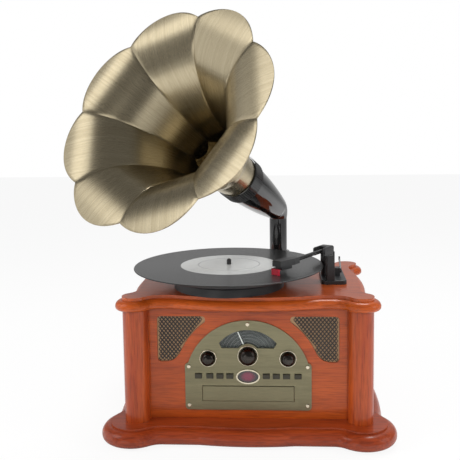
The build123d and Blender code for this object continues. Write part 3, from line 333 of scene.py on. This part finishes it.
# Metals: rolled or cast brass and steel. Brushing leaves fine lines along one direction,
# which spread the gloss across them.
brushing, taken, given = new_group(
    "brushed_lines",
    [
        ("Place", "NodeSocketVector", None),
        ("Metal", "NodeSocketColor", (0.4, 0.34, 0.2, 1)),
        ("Tarnish", "NodeSocketColor", (0.16, 0.13, 0.07, 1)),
        ("Amount", "NodeSocketFloat", 0.4),
        ("Smooth", "NodeSocketFloat", 0.26),
    ],
    [("Color", "NodeSocketColor"), ("Height", "NodeSocketFloat"), ("Roughness", "NodeSocketFloat")],
)
add = brushing.nodes.new
tie = brushing.links.new
lines = add("ShaderNodeTexNoise")
lines.inputs["Scale"].default_value = 1.0
lines.inputs["Detail"].default_value = 4.0
lines.inputs["Roughness"].default_value = 0.7
patches = add("ShaderNodeTexNoise")
patches.inputs["Scale"].default_value = 0.03
patches.inputs["Detail"].default_value = 3.0
patch_cut = add("ShaderNodeMapRange")
patch_cut.inputs["From Min"].default_value = 0.35
patch_cut.inputs["From Max"].default_value = 0.75
both = add("ShaderNodeMath")
both.operation = "ADD"
weigh = add("ShaderNodeMath")
weigh.operation = "MULTIPLY"
line_cut = add("ShaderNodeMapRange")
line_cut.inputs["From Min"].default_value = 0.40
line_cut.inputs["From Max"].default_value = 0.70
blend_in = add("ShaderNodeMix")
blend_in.data_type = "RGBA"
rough = add("ShaderNodeMath")
rough.operation = "MULTIPLY_ADD"
rough.inputs[1].default_value = 0.16
tie(taken.outputs["Place"], lines.inputs["Vector"])
tie(taken.outputs["Place"], patches.inputs["Vector"])
tie(lines.outputs["Fac"], line_cut.inputs["Value"])
tie(patches.outputs["Fac"], patch_cut.inputs["Value"])
tie(line_cut.outputs["Result"], both.inputs[0])
tie(patch_cut.outputs["Result"], both.inputs[1])
tie(both.outputs[0], weigh.inputs[0])
tie(taken.outputs["Amount"], weigh.inputs[1])
tie(weigh.outputs[0], blend_in.inputs["Factor"])
tie(taken.outputs["Metal"], blend_in.inputs["A"])
tie(taken.outputs["Tarnish"], blend_in.inputs["B"])
tie(blend_in.outputs["Result"], given.inputs["Color"])
tie(lines.outputs["Fac"], given.inputs["Height"])
tie(line_cut.outputs["Result"], rough.inputs[0])
tie(taken.outputs["Smooth"], rough.inputs[2])
tie(rough.outputs[0], given.inputs["Roughness"])


def brushed(name, metal, tarnish, amount, smooth, stretch, source="Object", bump_height=0.00004):
    """Brushed metal: the lines run along the axis that has the small stretch."""
    material, tree, shader = new_material(name, Metallic=1.0)
    place = tree.nodes.new("ShaderNodeTexCoord")
    run = tree.nodes.new("ShaderNodeMapping")
    run.inputs["Scale"].default_value = stretch
    group = tree.nodes.new("ShaderNodeGroup")
    group.node_tree = brushing
    group.inputs["Metal"].default_value = metal
    group.inputs["Tarnish"].default_value = tarnish
    group.inputs["Amount"].default_value = amount
    group.inputs["Smooth"].default_value = smooth
    bump = tree.nodes.new("ShaderNodeBump")
    bump.inputs["Strength"].default_value = 0.5
    bump.inputs["Distance"].default_value = bump_height
    tree.links.new(place.outputs[source], run.inputs["Vector"])
    tree.links.new(run.outputs[0], group.inputs["Place"])
    tree.links.new(group.outputs["Color"], shader.inputs["Base Color"])
    tree.links.new(group.outputs["Roughness"], shader.inputs["Roughness"])
    tree.links.new(group.outputs["Height"], bump.inputs["Height"])
    tree.links.new(bump.outputs[0], shader.inputs["Normal"])
    return material


fascia_brass = brushed(
    "antique_brass_level", (0.30, 0.275, 0.17, 1), (0.15, 0.14, 0.09, 1), 0.35, 0.36,
    (60.0, 1500.0, 2600.0),
)
bright_brass = brushed(
    "polished_brass", (0.80, 0.74, 0.58, 1), (0.5, 0.42, 0.28, 1), 0.3, 0.16, (400.0, 400.0, 400.0),
)
steel = brushed("sheet_steel", (0.6, 0.6, 0.6, 1), (0.35, 0.35, 0.35, 1), 0.4, 0.3, (50.0, 1500.0, 1500.0))
for name in ("fascia_plate", "cd_tray"):
    dress(name, fascia_brass)
for name in ("fascia_screws", "knob_rings", "display_bezel"):
    dress(name, bright_brass)
for name in ("cd_deck", "platter_motor", "motor_pulley", "transformer"):
    dress(name, steel)


# Dial: a painted dark grey scale with fine rings about the tuning shaft. It sits in a recess of
# the fascia behind a clear pane, with a white pointer between them.
tuning_z = 127.3 * mm
dial, tree, shader = new_material("dial_grey", Roughness=0.35)
place = tree.nodes.new("ShaderNodeTexCoord")
centred = tree.nodes.new("ShaderNodeMapping")
centred.inputs["Location"].default_value = (0, 0, -tuning_z)
flat = tree.nodes.new("ShaderNodeVectorMath")
flat.operation = "MULTIPLY"
flat.inputs[1].default_value = (1, 0, 1)
reach = tree.nodes.new("ShaderNodeVectorMath")
reach.operation = "LENGTH"
ring = tree.nodes.new("ShaderNodeMath")
ring.operation = "MULTIPLY"
ring.inputs[1].default_value = 2 * pi / (5.0 * mm)
wave = tree.nodes.new("ShaderNodeMath")
wave.operation = "COSINE"
cut = tree.nodes.new("ShaderNodeMapRange")
cut.inputs["From Min"].default_value = 0.80
cut.inputs["From Max"].default_value = 0.97
paint = tree.nodes.new("ShaderNodeMix")
paint.data_type = "RGBA"
paint.inputs["A"].default_value = (0.055, 0.06, 0.058, 1)
paint.inputs["B"].default_value = (0.16, 0.17, 0.165, 1)
tree.links.new(place.outputs["Object"], centred.inputs["Vector"])
tree.links.new(centred.outputs[0], flat.inputs[0])
tree.links.new(flat.outputs["Vector"], reach.inputs[0])
tree.links.new(reach.outputs["Value"], ring.inputs[0])
tree.links.new(ring.outputs[0], wave.inputs[0])
tree.links.new(wave.outputs[0], cut.inputs["Value"])
tree.links.new(cut.outputs["Result"], paint.inputs["Factor"])
tree.links.new(paint.outputs["Result"], shader.inputs["Base Color"])
dress("dial_scale", dial)

pane, tree, shader = new_material(
    "clear_pane", Base_Color=(0.95, 0.97, 0.96, 1), Roughness=0.03, Transmission_Weight=1.0, IOR=1.2,
)
scuff = tree.nodes.new("ShaderNodeTexNoise")
scuff.inputs["Scale"].default_value = 60.0
place = tree.nodes.new("ShaderNodeTexCoord")
tree.links.new(place.outputs["Object"], scuff.inputs["Vector"])
haze = tree.nodes.new("ShaderNodeMapRange")
haze.inputs["To Min"].default_value = 0.02
haze.inputs["To Max"].default_value = 0.07
tree.links.new(scuff.outputs["Fac"], haze.inputs["Value"])
tree.links.new(haze.outputs["Result"], shader.inputs["Roughness"])
dress("dial_window", pane)


def moulded(name, colour, roughness, grain_size=1500.0, depth=0.00006, **more):
    """Moulded or painted surface with a fine texture and slight changes of gloss."""
    material, tree, shader = new_material(name, Base_Color=colour, **more)
    place = tree.nodes.new("ShaderNodeTexCoord")
    fine = tree.nodes.new("ShaderNodeTexNoise")
    fine.inputs["Scale"].default_value = grain_size
    broad = tree.nodes.new("ShaderNodeTexNoise")
    broad.inputs["Scale"].default_value = 25.0
    gloss = tree.nodes.new("ShaderNodeMapRange")
    gloss.inputs["To Min"].default_value = roughness * 0.8
    gloss.inputs["To Max"].default_value = roughness * 1.25
    bump = tree.nodes.new("ShaderNodeBump")
    bump.inputs["Strength"].default_value = 0.3
    bump.inputs["Distance"].default_value = depth
    tree.links.new(place.outputs["Object"], fine.inputs["Vector"])
    tree.links.new(place.outputs["Object"], broad.inputs["Vector"])
    tree.links.new(broad.outputs["Fac"], gloss.inputs["Value"])
    tree.links.new(gloss.outputs["Result"], shader.inputs["Roughness"])
    tree.links.new(fine.outputs["Fac"], bump.inputs["Height"])
    tree.links.new(bump.outputs[0], shader.inputs["Normal"])
    return material


dress("dial_pointer", moulded("pointer_paint", (0.85, 0.85, 0.82, 1), 0.4))


# Knobs, buttons and display: dark bronze knobs with a polished dome, small matt black buttons
# and an oval lens with a magenta-red glow in its middle, painted into its colour.
knob_bronze = brushed(
    "knob_bronze", (0.075, 0.068, 0.062, 1), (0.03, 0.026, 0.022, 1), 0.4, 0.2, (900.0, 900.0, 900.0),
)
for name in ("volume_knob", "tuning_knob", "function_knob"):
    dress(name, knob_bronze)
button_black = moulded("button_black", (0.035, 0.032, 0.02, 1), 0.5)
for number in range(1, 9):
    dress(f"button_{number}", button_black)

lens, tree, shader = new_material("display_red", Roughness=0.08, Coat_Weight=1.0)
place = tree.nodes.new("ShaderNodeTexCoord")
centred = tree.nodes.new("ShaderNodeMapping")
centred.inputs["Location"].default_value = (0, 0, -95.0 * mm)
flat = tree.nodes.new("ShaderNodeVectorMath")
flat.operation = "MULTIPLY"
flat.inputs[1].default_value = (1 / 0.012, 0, 1 / 0.0085)
reach = tree.nodes.new("ShaderNodeVectorMath")
reach.operation = "LENGTH"
fade = tree.nodes.new("ShaderNodeMapRange")
fade.inputs["From Min"].default_value = 0.45
fade.inputs["From Max"].default_value = 1.05
paint = tree.nodes.new("ShaderNodeMix")
paint.data_type = "RGBA"
# Painted glow: the lens's colour is magenta-red in its middle and fades to near black at its edge
paint.inputs["A"].default_value = (0.17, 0.006, 0.035, 1)
paint.inputs["B"].default_value = (0.012, 0.008, 0.009, 1)
tree.links.new(place.outputs["Object"], centred.inputs["Vector"])
tree.links.new(centred.outputs[0], flat.inputs[0])
tree.links.new(flat.outputs["Vector"], reach.inputs[0])
tree.links.new(reach.outputs["Value"], fade.inputs["Value"])
tree.links.new(fade.outputs["Result"], paint.inputs["Factor"])
tree.links.new(paint.outputs["Result"], shader.inputs["Base Color"])
dress("display_lens", lens)


# Black mouldings: turntable base, platter, tonearm, sockets and speaker frames, in satin or matt
# black, with the red guard at the headshell's front and the green circuit board inside.
satin_black = moulded("satin_black", (0.022, 0.022, 0.023, 1), 0.38)
matt_black = moulded("matt_black", (0.02, 0.02, 0.02, 1), 0.7)
board_green = moulded("board_green", (0.03, 0.16, 0.07, 1), 0.5)
guard_red = moulded("guard_red", (0.42, 0.01, 0.03, 1), 0.22, Coat_Weight=0.6)
for name in (
    "turntable_base", "platter", "tonearm_base", "tonearm_yoke", "headshell", "cue_lever", "rear_jacks",
):
    dress(name, satin_black)
dress("speaker_drivers", matt_black)
dress("circuit_board", board_green)
dress("stylus_guard", guard_red)
dress("arm_tube", moulded("arm_paint", (0.07, 0.07, 0.07, 1), 0.25, Metallic=0.8))


# Record: pressed black vinyl with a pale, glossy paper centre. Its fine grooves run round the
# spindle and spread the light.
spindle = (-32.5 * mm, -49.0 * mm)
vinyl, tree, shader = new_material("vinyl", Coat_Weight=0.3, Coat_Roughness=0.12)
place = tree.nodes.new("ShaderNodeTexCoord")
centred = tree.nodes.new("ShaderNodeMapping")
centred.inputs["Location"].default_value = (-spindle[0], -spindle[1], 0)
flat = tree.nodes.new("ShaderNodeVectorMath")
flat.operation = "MULTIPLY"
flat.inputs[1].default_value = (1, 1, 0)
reach = tree.nodes.new("ShaderNodeVectorMath")
reach.operation = "LENGTH"
groove = tree.nodes.new("ShaderNodeMath")
groove.operation = "MULTIPLY"
groove.inputs[1].default_value = 2 * pi / (0.8 * mm)
wave = tree.nodes.new("ShaderNodeMath")
wave.operation = "SINE"
bump = tree.nodes.new("ShaderNodeBump")
bump.inputs["Strength"].default_value = 0.35
bump.inputs["Distance"].default_value = 0.00008
bands = tree.nodes.new("ShaderNodeValToRGB")
bands.color_ramp.interpolation = "CONSTANT"
pale = (0.62, 0.63, 0.62, 1)
pale_ring = (0.45, 0.46, 0.45, 1)
black = (0.008, 0.008, 0.008, 1)
stops = [(0.0, pale), (0.315, pale_ring), (0.33, pale), (0.511, black)]
ramp = bands.color_ramp
ramp.elements[0].color = stops[0][1]
ramp.elements[1].position = stops[1][0]
ramp.elements[1].color = stops[1][1]
for position, colour in stops[2:]:
    ramp.elements.new(position).color = colour
scaled = tree.nodes.new("ShaderNodeMath")
scaled.operation = "DIVIDE"
scaled.inputs[1].default_value = 150.75 * mm
gloss = tree.nodes.new("ShaderNodeMapRange")
gloss.inputs["From Min"].default_value = 0.505
gloss.inputs["From Max"].default_value = 0.515
gloss.inputs["To Min"].default_value = 0.18
gloss.inputs["To Max"].default_value = 0.32
tree.links.new(place.outputs["Object"], centred.inputs["Vector"])
tree.links.new(centred.outputs[0], flat.inputs[0])
tree.links.new(flat.outputs["Vector"], reach.inputs[0])
tree.links.new(reach.outputs["Value"], groove.inputs[0])
tree.links.new(groove.outputs[0], wave.inputs[0])
tree.links.new(wave.outputs[0], bump.inputs["Height"])
tree.links.new(bump.outputs[0], shader.inputs["Normal"])
tree.links.new(reach.outputs["Value"], scaled.inputs[0])
tree.links.new(scaled.outputs[0], bands.inputs["Fac"])
tree.links.new(scaled.outputs[0], gloss.inputs["Value"])
tree.links.new(bands.outputs["Color"], shader.inputs["Base Color"])
tree.links.new(gloss.outputs["Result"], shader.inputs["Roughness"])
dress("record", vinyl)


# Speaker grilles: pressed steel, painted black and pierced with staggered diamond holes. Each lies
# in its opening of the front panel, over tan cloth.
def grille_inside(x, z, margin):
    """Whether a point lies in the left grille's outline, less a margin."""
    # The slanted side follows the fascia's arch at a steady distance
    arch_z, arch_r = 86.3, 96.0 + 17.0
    left, low, high = -138.5, 117.0, 188.0
    if not (left + margin < x and low + margin < z < high - margin):
        return False
    if sqrt(x * x + (z - arch_z) ** 2) < arch_r + margin:
        return False
    tip_x, tip_r = -73.6, 5.8
    in_tip = x > tip_x
    if in_tip and sqrt((x - tip_x) ** 2 + (z - (high - tip_r)) ** 2) > tip_r - margin:
        return False
    heel_x, heel_r = -126.3, 25.0
    in_heel = x > heel_x and z < low + heel_r * 0.8
    return not (in_heel and sqrt((x - heel_x) ** 2 + (z - (low + heel_r)) ** 2) > heel_r - margin)


cloth = moulded("grille_cloth", (0.42, 0.27, 0.15, 1), 0.8, 700.0, 0.0003)
grille_black = moulded("grille_black", (0.016, 0.011, 0.009, 1), 0.35)
pitch_x, pitch_z = 5.9, 7.2
hole = 0.62             # of the cell's size
lattice_t = 1.2
lattice_gap = 0.15      # from the lattice's back to the plate
most_cells = 60         # along either side of the grid that the outline then trims


def lattice_tree():
    """A cell with a diamond hole, put on every point of a mesh."""
    tree = bpy.data.node_groups.new("grille_lattice", "GeometryNodeTree")
    tree.interface.new_socket("Points", in_out="INPUT", socket_type="NodeSocketGeometry")
    tree.interface.new_socket("Cell", in_out="INPUT", socket_type="NodeSocketObject")
    tree.interface.new_socket("Metal", in_out="INPUT", socket_type="NodeSocketMaterial")
    tree.interface.new_socket("Lattice", in_out="OUTPUT", socket_type="NodeSocketGeometry")
    start = tree.nodes.new("NodeGroupInput")
    info = tree.nodes.new("GeometryNodeObjectInfo")
    put = tree.nodes.new("GeometryNodeInstanceOnPoints")
    real = tree.nodes.new("GeometryNodeRealizeInstances")
    paint = tree.nodes.new("GeometryNodeSetMaterial")
    end = tree.nodes.new("NodeGroupOutput")
    tree.links.new(start.outputs["Points"], put.inputs["Points"])
    tree.links.new(start.outputs["Cell"], info.inputs["Object"])
    tree.links.new(info.outputs["Geometry"], put.inputs["Instance"])
    tree.links.new(put.outputs["Instances"], real.inputs["Geometry"])
    tree.links.new(real.outputs["Geometry"], paint.inputs["Geometry"])
    tree.links.new(start.outputs["Metal"], paint.inputs["Material"])
    tree.links.new(paint.outputs["Geometry"], end.inputs["Lattice"])
    return tree


def run_tree(tree, carrier, **values):
    """Evaluates a geometry tree on a carrier object and returns the plain mesh."""
    modifier = carrier.modifiers.new("made", "NODES")
    modifier.node_group = tree
    for socket in tree.interface.items_tree:
        if socket.in_out == "INPUT" and socket.name in values:
            modifier[socket.identifier] = values[socket.name]
    carrier.data.update()
    depsgraph = bpy.context.evaluated_depsgraph_get()
    made = bpy.data.meshes.new_from_object(carrier.evaluated_get(depsgraph))
    carrier.modifiers.remove(modifier)
    return made


def new_piece(name, mesh, body, slot, *stands_for):
    piece = bpy.data.objects.new(name, mesh)
    scene.collection.objects.link(piece)
    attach(piece, body)
    if stands_for:
        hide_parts(*stands_for)
    return piece


def prism(outline, inner, front_y, back_y):
    """Closed ring between two outlines of equal count, (x, z) in mm, and between two depths."""
    count = len(outline)
    points = []
    for loop in (outline, inner):
        for y in (front_y, back_y):
            points += [(x * mm, y * mm, z * mm) for x, z in loop]
    faces = []
    for index in range(count):
        after = (index + 1) % count
        of, ob, nf, nb = (k * count + index for k in range(4))
        of2, ob2, nf2, nb2 = (k * count + after for k in range(4))
        faces += [(of, of2, ob2, ob), (nf2, nf, nb, nb2), (of2, of, nf, nf2), (ob, ob2, nb2, nb)]
    mesh = bpy.data.meshes.new("ring")
    mesh.from_pydata(points, [], faces)
    shaped = bmesh.new()
    shaped.from_mesh(mesh)
    bmesh.ops.recalc_face_normals(shaped, faces=shaped.faces)
    shaped.to_mesh(mesh)
    shaped.free()
    return mesh


half_x, half_z = pitch_x / 2, pitch_z / 2
diamond = [(half_x, 0), (0, half_z), (-half_x, 0), (0, -half_z)]
octagon = [
    (x * hole, z * hole) for x, z in
    ((half_x, 0), (half_x * 0.5, half_z * 0.5), (0, half_z), (-half_x * 0.5, half_z * 0.5))
]
octagon += [(-x, -z) for x, z in octagon]
rim = []
for index in range(4):
    start, end = diamond[index], diamond[(index + 1) % 4]
    rim += [start, ((start[0] + end[0]) / 2, (start[1] + end[1]) / 2)]
cell = bpy.data.objects.new("grille_cell", prism(rim, octagon, -lattice_t / 2, lattice_t / 2))
lattice = lattice_tree()
grille_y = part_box("speaker_grille_left")[0][1] / mm
for side, name in ((1, "left"), (-1, "right")):
    points = []
    for row in range(most_cells):
        for column in range(most_cells):
            x = -140 + column * pitch_x + (row % 2) * half_x
            z = 114 + row * half_z
            if grille_inside(x, z, 1.6):
                points.append((side * x * mm, (grille_y - lattice_t / 2 - lattice_gap) * mm, z * mm))
    carrier_mesh = bpy.data.meshes.new("grille_points")
    carrier_mesh.from_pydata(points, [], [])
    carrier = bpy.data.objects.new("grille_points", carrier_mesh)
    scene.collection.objects.link(carrier)
    made = run_tree(lattice, carrier, Cell=cell, Metal=grille_black)
    bpy.data.objects.remove(carrier)
    new_piece(f"grille_lattice_{name}", made, "cabinet", "grille_steel")
    dress(f"speaker_grille_{name}", cloth)
bpy.data.objects.remove(cell)


# Horn: eight brass petals, brushed from the throat out to the lip. Each is sheet that bends one
# way only, so its bands of light run straight across, and it is seamed to its neighbours.
azimuth, rise = radians(30.6), radians(27.85)
bend_point = Vector((45.6, 121.0, 321.7))
horn_dir = Vector((-sin(azimuth) * cos(rise), -cos(azimuth) * cos(rise), sin(rise)))
mouth = bend_point + horn_dir * 361.9
horn_a = horn_dir.cross(Vector((0, 0, 1))).normalized()
horn_b = horn_a.cross(horn_dir)
petal_count = 8
half_turn = pi / petal_count
seam_turn = radians(93.4)
sheet_t = 1.2
edge_r, edge_centre = 83.0, 98.8
# Depth behind the mouth and distance from the axis, along the middle of a petal
petal_line = [
    (148.0, 44.6), (100.0, 54.2), (57.0, 73.6), (28.0, 93.6), (8.0, 122.5), (-1.5, 158.0), (-2.0, 184.0),
]


def smooth_line(points, count):
    """Points on a natural cubic spline through the given ones, by the length of its chords."""
    known = np.array(points)
    knots = np.concatenate(([0], np.cumsum(np.linalg.norm(np.diff(known, axis=0), axis=1))))
    gaps = np.diff(knots)
    size = len(knots)
    system = np.eye(size)
    force = np.zeros((size, 2))
    for k in range(1, size - 1):
        system[k, k - 1:k + 2] = gaps[k - 1], 2 * (gaps[k - 1] + gaps[k]), gaps[k]
        force[k] = 6 * ((known[k + 1] - known[k]) / gaps[k] - (known[k] - known[k - 1]) / gaps[k - 1])
    bend = np.linalg.solve(system, force)
    made = []
    for t in np.linspace(0, knots[-1], count):
        k = min(np.searchsorted(knots, t, side="right") - 1, size - 2)
        a, b, h = knots[k + 1] - t, t - knots[k], gaps[k]
        made.append(
            (bend[k] * a ** 3 + bend[k + 1] * b ** 3) / (6 * h)
            + (known[k] / h - bend[k] * h / 6) * a + (known[k + 1] / h - bend[k + 1] * h / 6) * b
        )
    return np.array(made)


fine_line = smooth_line(petal_line, 400)
# Where the round edge of a petal meets the seam to its neighbour
corner_r = next(
    r for r in np.arange(120.0, 182.0, 0.05)
    if edge_r ** 2 - (r - edge_centre) ** 2 < (r * tan(half_turn)) ** 2
)
rows = []
wall_rows = 44
for k in range(wall_rows):
    share = k / (wall_rows - 1)
    rows.append(fine_line[0][1] + (corner_r - fine_line[0][1]) * share ** 1.15)
turn = acos((corner_r - edge_centre) / edge_r)
lip_rows = 14
for k in range(1, lip_rows + 1):
    rows.append(edge_centre + edge_r * cos(turn * (1 - k / lip_rows)))
columns = 16
radial_r = fine_line[:, 1]
depths = fine_line[:, 0]
order = np.argsort(radial_r)

horn_brass = brushed(
    "horn_brass", (0.56, 0.485, 0.335, 1), (0.30, 0.24, 0.14, 1), 0.40, 0.22,
    (900.0, 6.0, 1.0), "UV", 0.00003,
)
for number in range(petal_count):
    middle_turn = seam_turn + (2 * number + 1) * half_turn
    radial = horn_a * cos(middle_turn) + horn_b * sin(middle_turn)
    across = horn_dir.cross(radial)
    grid = []
    marks = []
    for r in rows:
        depth = float(np.interp(r, radial_r[order], depths[order]))
        half = min(r * tan(half_turn), sqrt(max(edge_r ** 2 - (r - edge_centre) ** 2, 0.0)))
        for c in range(columns + 1):
            share = -1 + 2 * c / columns
            spot = mouth + radial * r + across * (half * share) - horn_dir * depth
            grid.append(spot * mm)
            marks.append((half * share / 60.0 + number * 3.7, r / 60.0))
    faces = []
    wide = columns + 1
    for k in range(len(rows) - 1):
        for c in range(columns):
            faces.append((k * wide + c, k * wide + c + 1, (k + 1) * wide + c + 1, (k + 1) * wide + c))
    mesh = bpy.data.meshes.new(f"petal_{number + 1}")
    mesh.from_pydata(grid, [], faces)
    layer = mesh.uv_layers.new(name="UVMap")
    for loop in mesh.loops:
        layer.data[loop.index].uv = marks[loop.vertex_index]
    shaped = bmesh.new()
    shaped.from_mesh(mesh)
    bmesh.ops.remove_doubles(shaped, verts=shaped.verts, dist=0.00002)
    bmesh.ops.recalc_face_normals(shaped, faces=shaped.faces)
    # The inner side faces the horn's axis
    middle_face = max(shaped.faces, key=lambda f: f.calc_area())
    to_axis = (mouth * mm) - middle_face.calc_center_median()
    if middle_face.normal.dot(to_axis) < 0:
        bmesh.ops.reverse_faces(shaped, faces=shaped.faces)
    shaped.to_mesh(mesh)
    shaped.free()
    mesh.materials.append(horn_brass)
    mesh.polygons.foreach_set("use_smooth", [True] * len(mesh.polygons))
    petal = new_piece(f"petal_{number + 1}", mesh, "horn", "horn_brass", f"horn_petal_{number + 1}")
    wall = petal.modifiers.new("wall", "SOLIDIFY")
    wall.thickness = sheet_t * mm
    wall.offset = -1
    edge = petal.modifiers.new("edge", "BEVEL")
    edge.width = 0.3 * mm
    edge.segments = 2
    edge.limit_method = "ANGLE"

dress("horn_neck", brushed(
    "neck_brass", (0.60, 0.52, 0.36, 1), (0.30, 0.24, 0.14, 1), 0.3, 0.2, (500.0, 500.0, 500.0),
))


# Elbow, collar and socket: cast metal under thick gloss black paint. The collar clamps the horn's
# neck on the elbow's cone, and fine ribs round it give the hand a grip.
gloss_black = moulded("gloss_black", (0.006, 0.006, 0.006, 1), 0.09, 60.0, 0.0001, Coat_Weight=1.0)
for name in ("horn_elbow", "horn_socket", "horn_collar"):
    dress(name, gloss_black)
rib_count = 64
collar_r = 36.2 + 0.15 + 2.2
rib_ends = (232.5, 209.5)                                           # behind the horn's mouth
rib_section = ((-1.25, -0.3), (-0.45, 0.9), (0.45, 0.9), (1.25, -0.3))
rib_mesh = bpy.data.meshes.new("collar_ribs")
shaped = bmesh.new()
for index in range(rib_count):
    angle = 2 * pi * index / rib_count
    outward = horn_a * cos(angle) + horn_b * sin(angle)
    along = horn_dir.cross(outward)
    loop = []
    for depth in rib_ends:
        for shift, lift in rib_section:
            spot = mouth - horn_dir * depth + outward * (collar_r + lift) + along * shift
            loop.append(shaped.verts.new(spot * mm))
    for k in range(4):
        after = (k + 1) % 4
        shaped.faces.new((loop[k], loop[after], loop[4 + after], loop[4 + k]))
    shaped.faces.new((loop[3], loop[2], loop[1], loop[0]))
    shaped.faces.new((loop[4], loop[5], loop[6], loop[7]))
bmesh.ops.recalc_face_normals(shaped, faces=shaped.faces)
shaped.to_mesh(rib_mesh)
shaped.free()
rib_mesh.materials.append(moulded("rib_black", (0.03, 0.03, 0.03, 1), 0.3))
new_piece("collar_ribs", rib_mesh, "horn", "horn_black")
